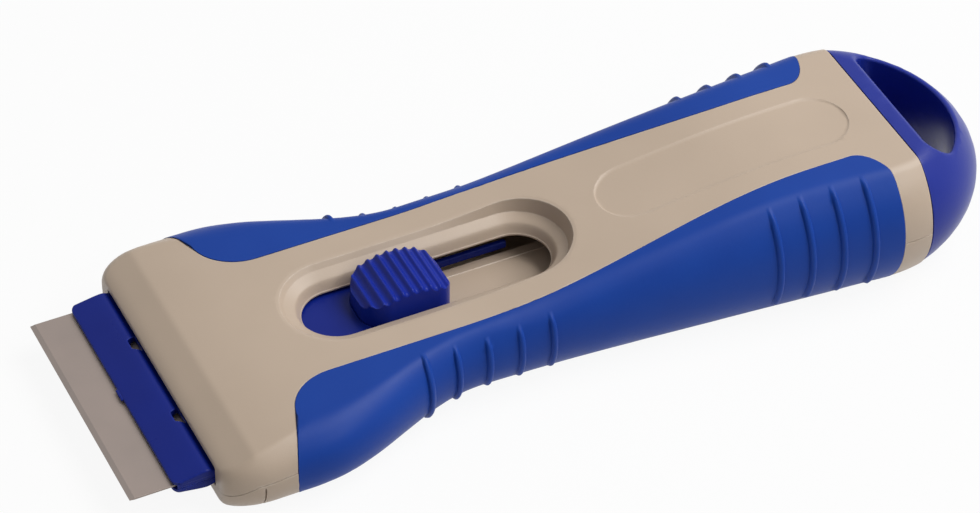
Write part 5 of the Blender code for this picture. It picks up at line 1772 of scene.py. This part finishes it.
    def build_blade(self, bench: Bench, body: Finish, grind: Finish) -> None:
        """Builds the blade: a flat steel strip whose front is ground from both faces to the edge."""
        half = self.blade_thickness / 2
        tip = half * self.blade_tip_share
        ground = self.blade_front + self.blade_bevel
        lower = [(self.blade_front, -tip), (ground, -half), (self.blade_back, -half)]
        outline = lower + [(x, -z) for x, z in reversed(lower)]
        bm = prism(outline, Lie.Y, -self.blade_width / 2, self.blade_width / 2)
        round_edges(bm, self.blade_edge, angle=math.radians(60), segments=2)
        bmesh.ops.recalc_face_normals(bm, faces=bm.faces)
        for face in bm.faces:
            if face.calc_center_median().x < ground and abs(face.normal.y) < 0.5:
                face.material_index = 1
        bench.lay("scraping_blade", bm, [body, grind], "carrier", ["blade"], sharp=3.0)


# Knob


@dataclass
class PressKnob:
    """The thumb knob with its cross ridges, on a flange in the carrier's pocket."""

    front: float = 0.0312
    length: float = 0.01405
    half: float = 0.005
    front_corner: float = 0.0038
    back_corner: float = 0.003
    crown: float = 0.00795
    crown_x: float = 0.0386
    front_fall: float = 0.0026
    back_fall: float = 0.0025
    ridge_pitch: float = 0.001525
    ridge_height: float = 0.0005
    ridge_start: float = 0.03216
    ridge_count: int = 9
    ridge_power: float = 1.5
    ridge_steps: int = 150
    side_round: float = 0.0006
    flange_half: float = 0.0064
    flange_top: float = 0.0016
    flange_bottom: float = 0.0009
    flange_inset: float = 0.0001
    flange_edge: float = 0.00015
    top_overlap: float = 0.0001
    wall: float = 0.0016
    hollow_top: float = 0.0050

    @property
    def back(self) -> float:
        """X of the knob's heel."""
        return self.front + self.length

    def dome(self, x: float) -> float:
        """Returns the height of the ridges' tops at a station."""
        if x < self.crown_x:
            return self.crown - self.front_fall * ((self.crown_x - x) / (self.crown_x - self.front)) ** 2
        return self.crown - self.back_fall * ((x - self.crown_x) / (self.back - self.crown_x)) ** 2

    def groove(self, x: float) -> float:
        """Returns how far the top lies under the dome at a station, for the valleys between the ridges."""
        along = (x - self.ridge_start) / self.ridge_pitch
        if not -0.5 <= along <= self.ridge_count - 0.5:
            return self.ridge_height
        crest = (1 + math.cos(2 * math.pi * along)) / 2
        return self.ridge_height * (1 - crest**self.ridge_power)

    def plan(self, grow: float = 0.0) -> list[Point]:
        """Returns the knob's outline seen from above, rounder in front than behind, grown by a distance."""
        outline = []
        corners = (self.back_corner, self.front_corner, self.front_corner, self.back_corner)
        for turn, corner in enumerate(corners):
            x = self.front + corner if turn in (1, 2) else self.back - corner
            y = (self.half - corner) * (1 if turn < 2 else -1)
            outline += corner_arc(x, y, corner + grow, turn, 16)
        return outline

    def build(self, bench: Bench, finish: Finish) -> None:
        """Builds the knob."""
        low = self.flange_top - self.top_overlap
        over = HAIR * 3
        xs = spread(self.front - over, self.back + over, self.ridge_steps)
        edge = self.half + over
        rings = []
        for y in across(edge, self.side_round, 6, 7):
            fall = self.side_round * (1 - quarter((edge - abs(y)) / self.side_round))
            crest = [Vector((x, y, self.dome(x) - self.groove(x) - fall)) for x in xs]
            rings.append([Vector((xs[0], y, low)), *crest, Vector((xs[-1], y, low))])
        work = Carving(loft(rings)).keep(prism(self.plan(), Lie.Z, 0, self.crown + OVERRUN))
        low_corner = (self.front + self.flange_inset, -self.flange_half, self.flange_bottom)
        high_corner = (self.back - self.side_round * 2, self.flange_half, self.flange_top)
        work.join(block(low_corner, high_corner, self.flange_edge))
        inner = self.half - self.wall
        work.cut(block((self.front + self.wall, -inner, self.flange_bottom - OVERRUN),
                       (self.back - self.wall, inner, self.hollow_top)))
        bench.lay("press_knob", work.baked(), [finish], "knob", ["thumb_knob"], sharp=48.0)


# Small parts


@dataclass
class SmallParts:
    """Screws with slotted heads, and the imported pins, springs and spare blades that keep their shape."""

    shells: Shells
    head_radius: float = 0.0018
    head_height: float = 0.0013
    shaft_radius: float = 0.0009
    grip_length: float = 0.0036
    slot_width: float = 0.0005
    slot_depth: float = 0.0007
    roundings: tuple[float, ...] = (0.0002, 0.00005, 0.00015, 0.0006)

    def build_screws(self, bench: Bench, finish: Finish) -> None:
        """Builds the four screws."""
        form = self.shells.form
        for i, (x, y) in enumerate(self.shells.screw_sites(), 1):
            seat = form.belly(x) + self.shells.screw_sink - GAP
            tip = form.parting(x) - GAP + self.grip_length
            head = seat - self.head_height
            shaft, rim = self.shaft_radius, self.head_radius
            corners = [(0, tip), (shaft, tip - shaft), (shaft, seat), (rim, seat), (rim, head), (0, head)]
            work = Carving(turned(filleted(corners, self.roundings, steps=4), x, y, 36))
            reach = self.head_radius + GAP
            half = self.slot_width / 2
            work.cut(block((x - reach, y - half, head - GAP), (x + reach, y + half, head + self.slot_depth)))
            node = f"shell_screw_{i}"
            bench.lay(f"casing_screw_{i}", work.baked(), [finish], "housing", [node])

    def dress_nodes(self, nodes: dict[str, Object], finishes: Finishes) -> None:
        """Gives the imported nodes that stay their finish.

        Args:
            nodes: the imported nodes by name.
            finishes: the scraper's finishes.
        """
        chosen = {name: finishes.blade for name in nodes if name.startswith("spare_blade_")}
        chosen |= dict.fromkeys(("clamp_pin", "knob_spring", "spare_blade_spring"), finishes.spring)
        for name, finish in chosen.items():
            for slot in nodes[name].material_slots:
                slot.material = finish.material()
            log.info("%s: packed mesh kept", name)


# Studio


@dataclass
class Studio:
    """The pale floor, the lamps and the camera."""

    form: CasingForm
    floor_size: float = 4.0
    floor_colour: Colour = (0.72, 0.72, 0.72)
    floor_shade: float = 0.995
    floor_white: float = 0.92
    floor_gap: float = 0.00005
    world_fill: float = 0.28
    world_seen: float = 1.0
    camera_place: Vector = field(default_factory=lambda: Vector((-0.1393, -0.3966, 0.4066)))
    azimuth: float = math.radians(-25.88)
    elevation: float = math.radians(42.35)
    roll: float = 0.00802
    focal_pixels: float = 4006.3
    picture_width: float = 980.0
    sensor: float = 36.0
    nearest: float = 0.01

    def floor(self, bench: Bench) -> None:
        """Lays the floor against the casing's flat underside."""
        form = self.form
        slope = (form.belly_tail_depth - form.belly_front_depth) / (form.joint - form.nose_length)
        bm = bmesh.new()
        bmesh.ops.create_grid(bm, x_segments=8, y_segments=8, size=self.floor_size / 2)
        tilt = Matrix.Rotation(math.atan(slope), 4, "Y")
        touch = Vector((form.joint, 0, -form.belly_tail_depth - self.floor_gap)) + bench.shift
        bmesh.ops.transform(bm, matrix=Matrix.Translation(touch) @ tilt, verts=bm.verts)
        floor = mesh_object("floor", bm)
        floor.data.materials.append(self.floor_material())

    def floor_material(self) -> Material:
        """Returns the floor's pale matt paper, which the camera sees nearly white."""
        material = bpy.data.materials.new("pale_paper")
        material.use_nodes = True
        wires = Wiring(material.node_tree)
        paper = wires.tree.nodes["Principled BSDF"]
        shade = tuple(part * self.floor_shade for part in self.floor_colour)
        colour = wires.blend(wires.noise(Scale=3.0), self.floor_colour, shade)
        wires.feed(paper, {"Base Color": colour, "Roughness": 0.9, "Specular IOR Level": 0.1})
        rays = wires.add("LightPath").outputs
        direct = wires.calc("MAXIMUM", rays["Is Camera Ray"], rays["Is Glossy Ray"])
        share = wires.calc("MULTIPLY", direct, self.floor_white)
        white = wires.add("Emission").outputs["Emission"]
        surface = wires.add("MixShader", {"Fac": share, 1: paper.outputs["BSDF"], 2: white})
        wires.feed(wires.tree.nodes["Material Output"], {"Surface": surface.outputs["Shader"]})
        return material

    def world(self) -> None:
        """Sets a plain world: a fill for the object, and white where the camera or a reflection sees it."""
        world = bpy.data.worlds.new("studio")
        bpy.context.scene.world = world
        world.use_nodes = True
        wires = Wiring(world.node_tree)
        rays = wires.add("LightPath").outputs
        through = wires.calc("MAXIMUM", rays["Is Camera Ray"], rays["Is Transmission Ray"])
        seen = wires.calc("MAXIMUM", through, rays["Is Glossy Ray"])
        strength = wires.between(seen, self.world_fill, self.world_seen)
        wires.feed(wires.tree.nodes["Background"], {"Color": (1, 1, 1, 1), "Strength": strength})

    def lamp(self, name: str, direction: Vector, distance: float, size: float, power: float) -> None:
        """Hangs a soft square lamp that looks at the tool.

        Args:
            name: the lamp's name.
            direction: where it hangs, seen from the tool.
            distance: how far from the tool.
            size: its side.
            power: its power in watts.
        """
        data = bpy.data.lights.new(name, "AREA")
        data.shape = "RECTANGLE"
        data.size = size
        data.size_y = size
        data.energy = power
        lamp = placed(name, data)
        lamp.location = direction.normalized() * distance
        lamp.rotation_euler = direction.to_track_quat("Z", "Y").to_euler()

    def camera(self, bench: Bench) -> None:
        """Sets the camera at the photograph's view."""
        az, el = self.azimuth, self.elevation
        back = Vector((math.sin(az) * math.cos(el), -math.cos(az) * math.cos(el), math.sin(el)))
        level = Vector((math.cos(az), math.sin(az), 0))
        steep = back.cross(level)
        right = level * math.cos(self.roll) + steep * math.sin(self.roll)
        up = steep * math.cos(self.roll) - level * math.sin(self.roll)
        data = bpy.data.cameras.new("camera")
        data.sensor_width = self.sensor
        data.lens = self.focal_pixels * self.sensor / self.picture_width
        data.clip_start = self.nearest
        camera = placed("camera", data)
        turn = Matrix((right, up, back)).transposed().to_4x4()
        camera.matrix_world = Matrix.Translation(self.camera_place + bench.shift) @ turn
        bpy.context.scene.camera = camera

    def build(self, bench: Bench) -> None:
        """Builds the floor, world, lamps and camera."""
        self.floor(bench)
        self.world()
        self.lamp("key_softbox", Vector((0.56, -0.06, 0.82)), distance=0.9, size=0.62, power=7.2)
        self.lamp("near_softbox", Vector((0.45, -0.62, 0.62)), distance=0.9, size=0.22, power=1.15)
        self.camera(bench)
        bpy.context.scene.view_settings.view_transform = "Standard"


def main() -> None:
    """Builds the scraper's pieces in order, then the studio."""
    logging.basicConfig(level=logging.INFO, format="%(name)s: %(message)s")
    form = CasingForm()
    bench = Bench.from_frame(form)
    finishes = Finishes()
    grips = SideGrips(form)
    shells = Shells(form, grips)
    shells.build_upper(bench, finishes.casing)
    shells.build_lower(bench, finishes.casing)
    grips.build(bench, finishes.grip)
    HangCap(form).build(bench, finishes.cap)
    holder = BladeHolder()
    holder.build_jaw(bench, finishes.slide)
    knob = PressKnob()
    holder.build_carrier(bench, finishes.slide, knob.plan(holder.knob_gap))
    holder.build_blade(bench, finishes.blade, finishes.grind)
    knob.build(bench, finishes.lit_knob)
    parts = SmallParts(shells)
    parts.build_screws(bench, finishes.screw)
    parts.dress_nodes(frame["nodes"], finishes)
    Studio(form).build(bench)


if __name__ == "__main__":
    main()
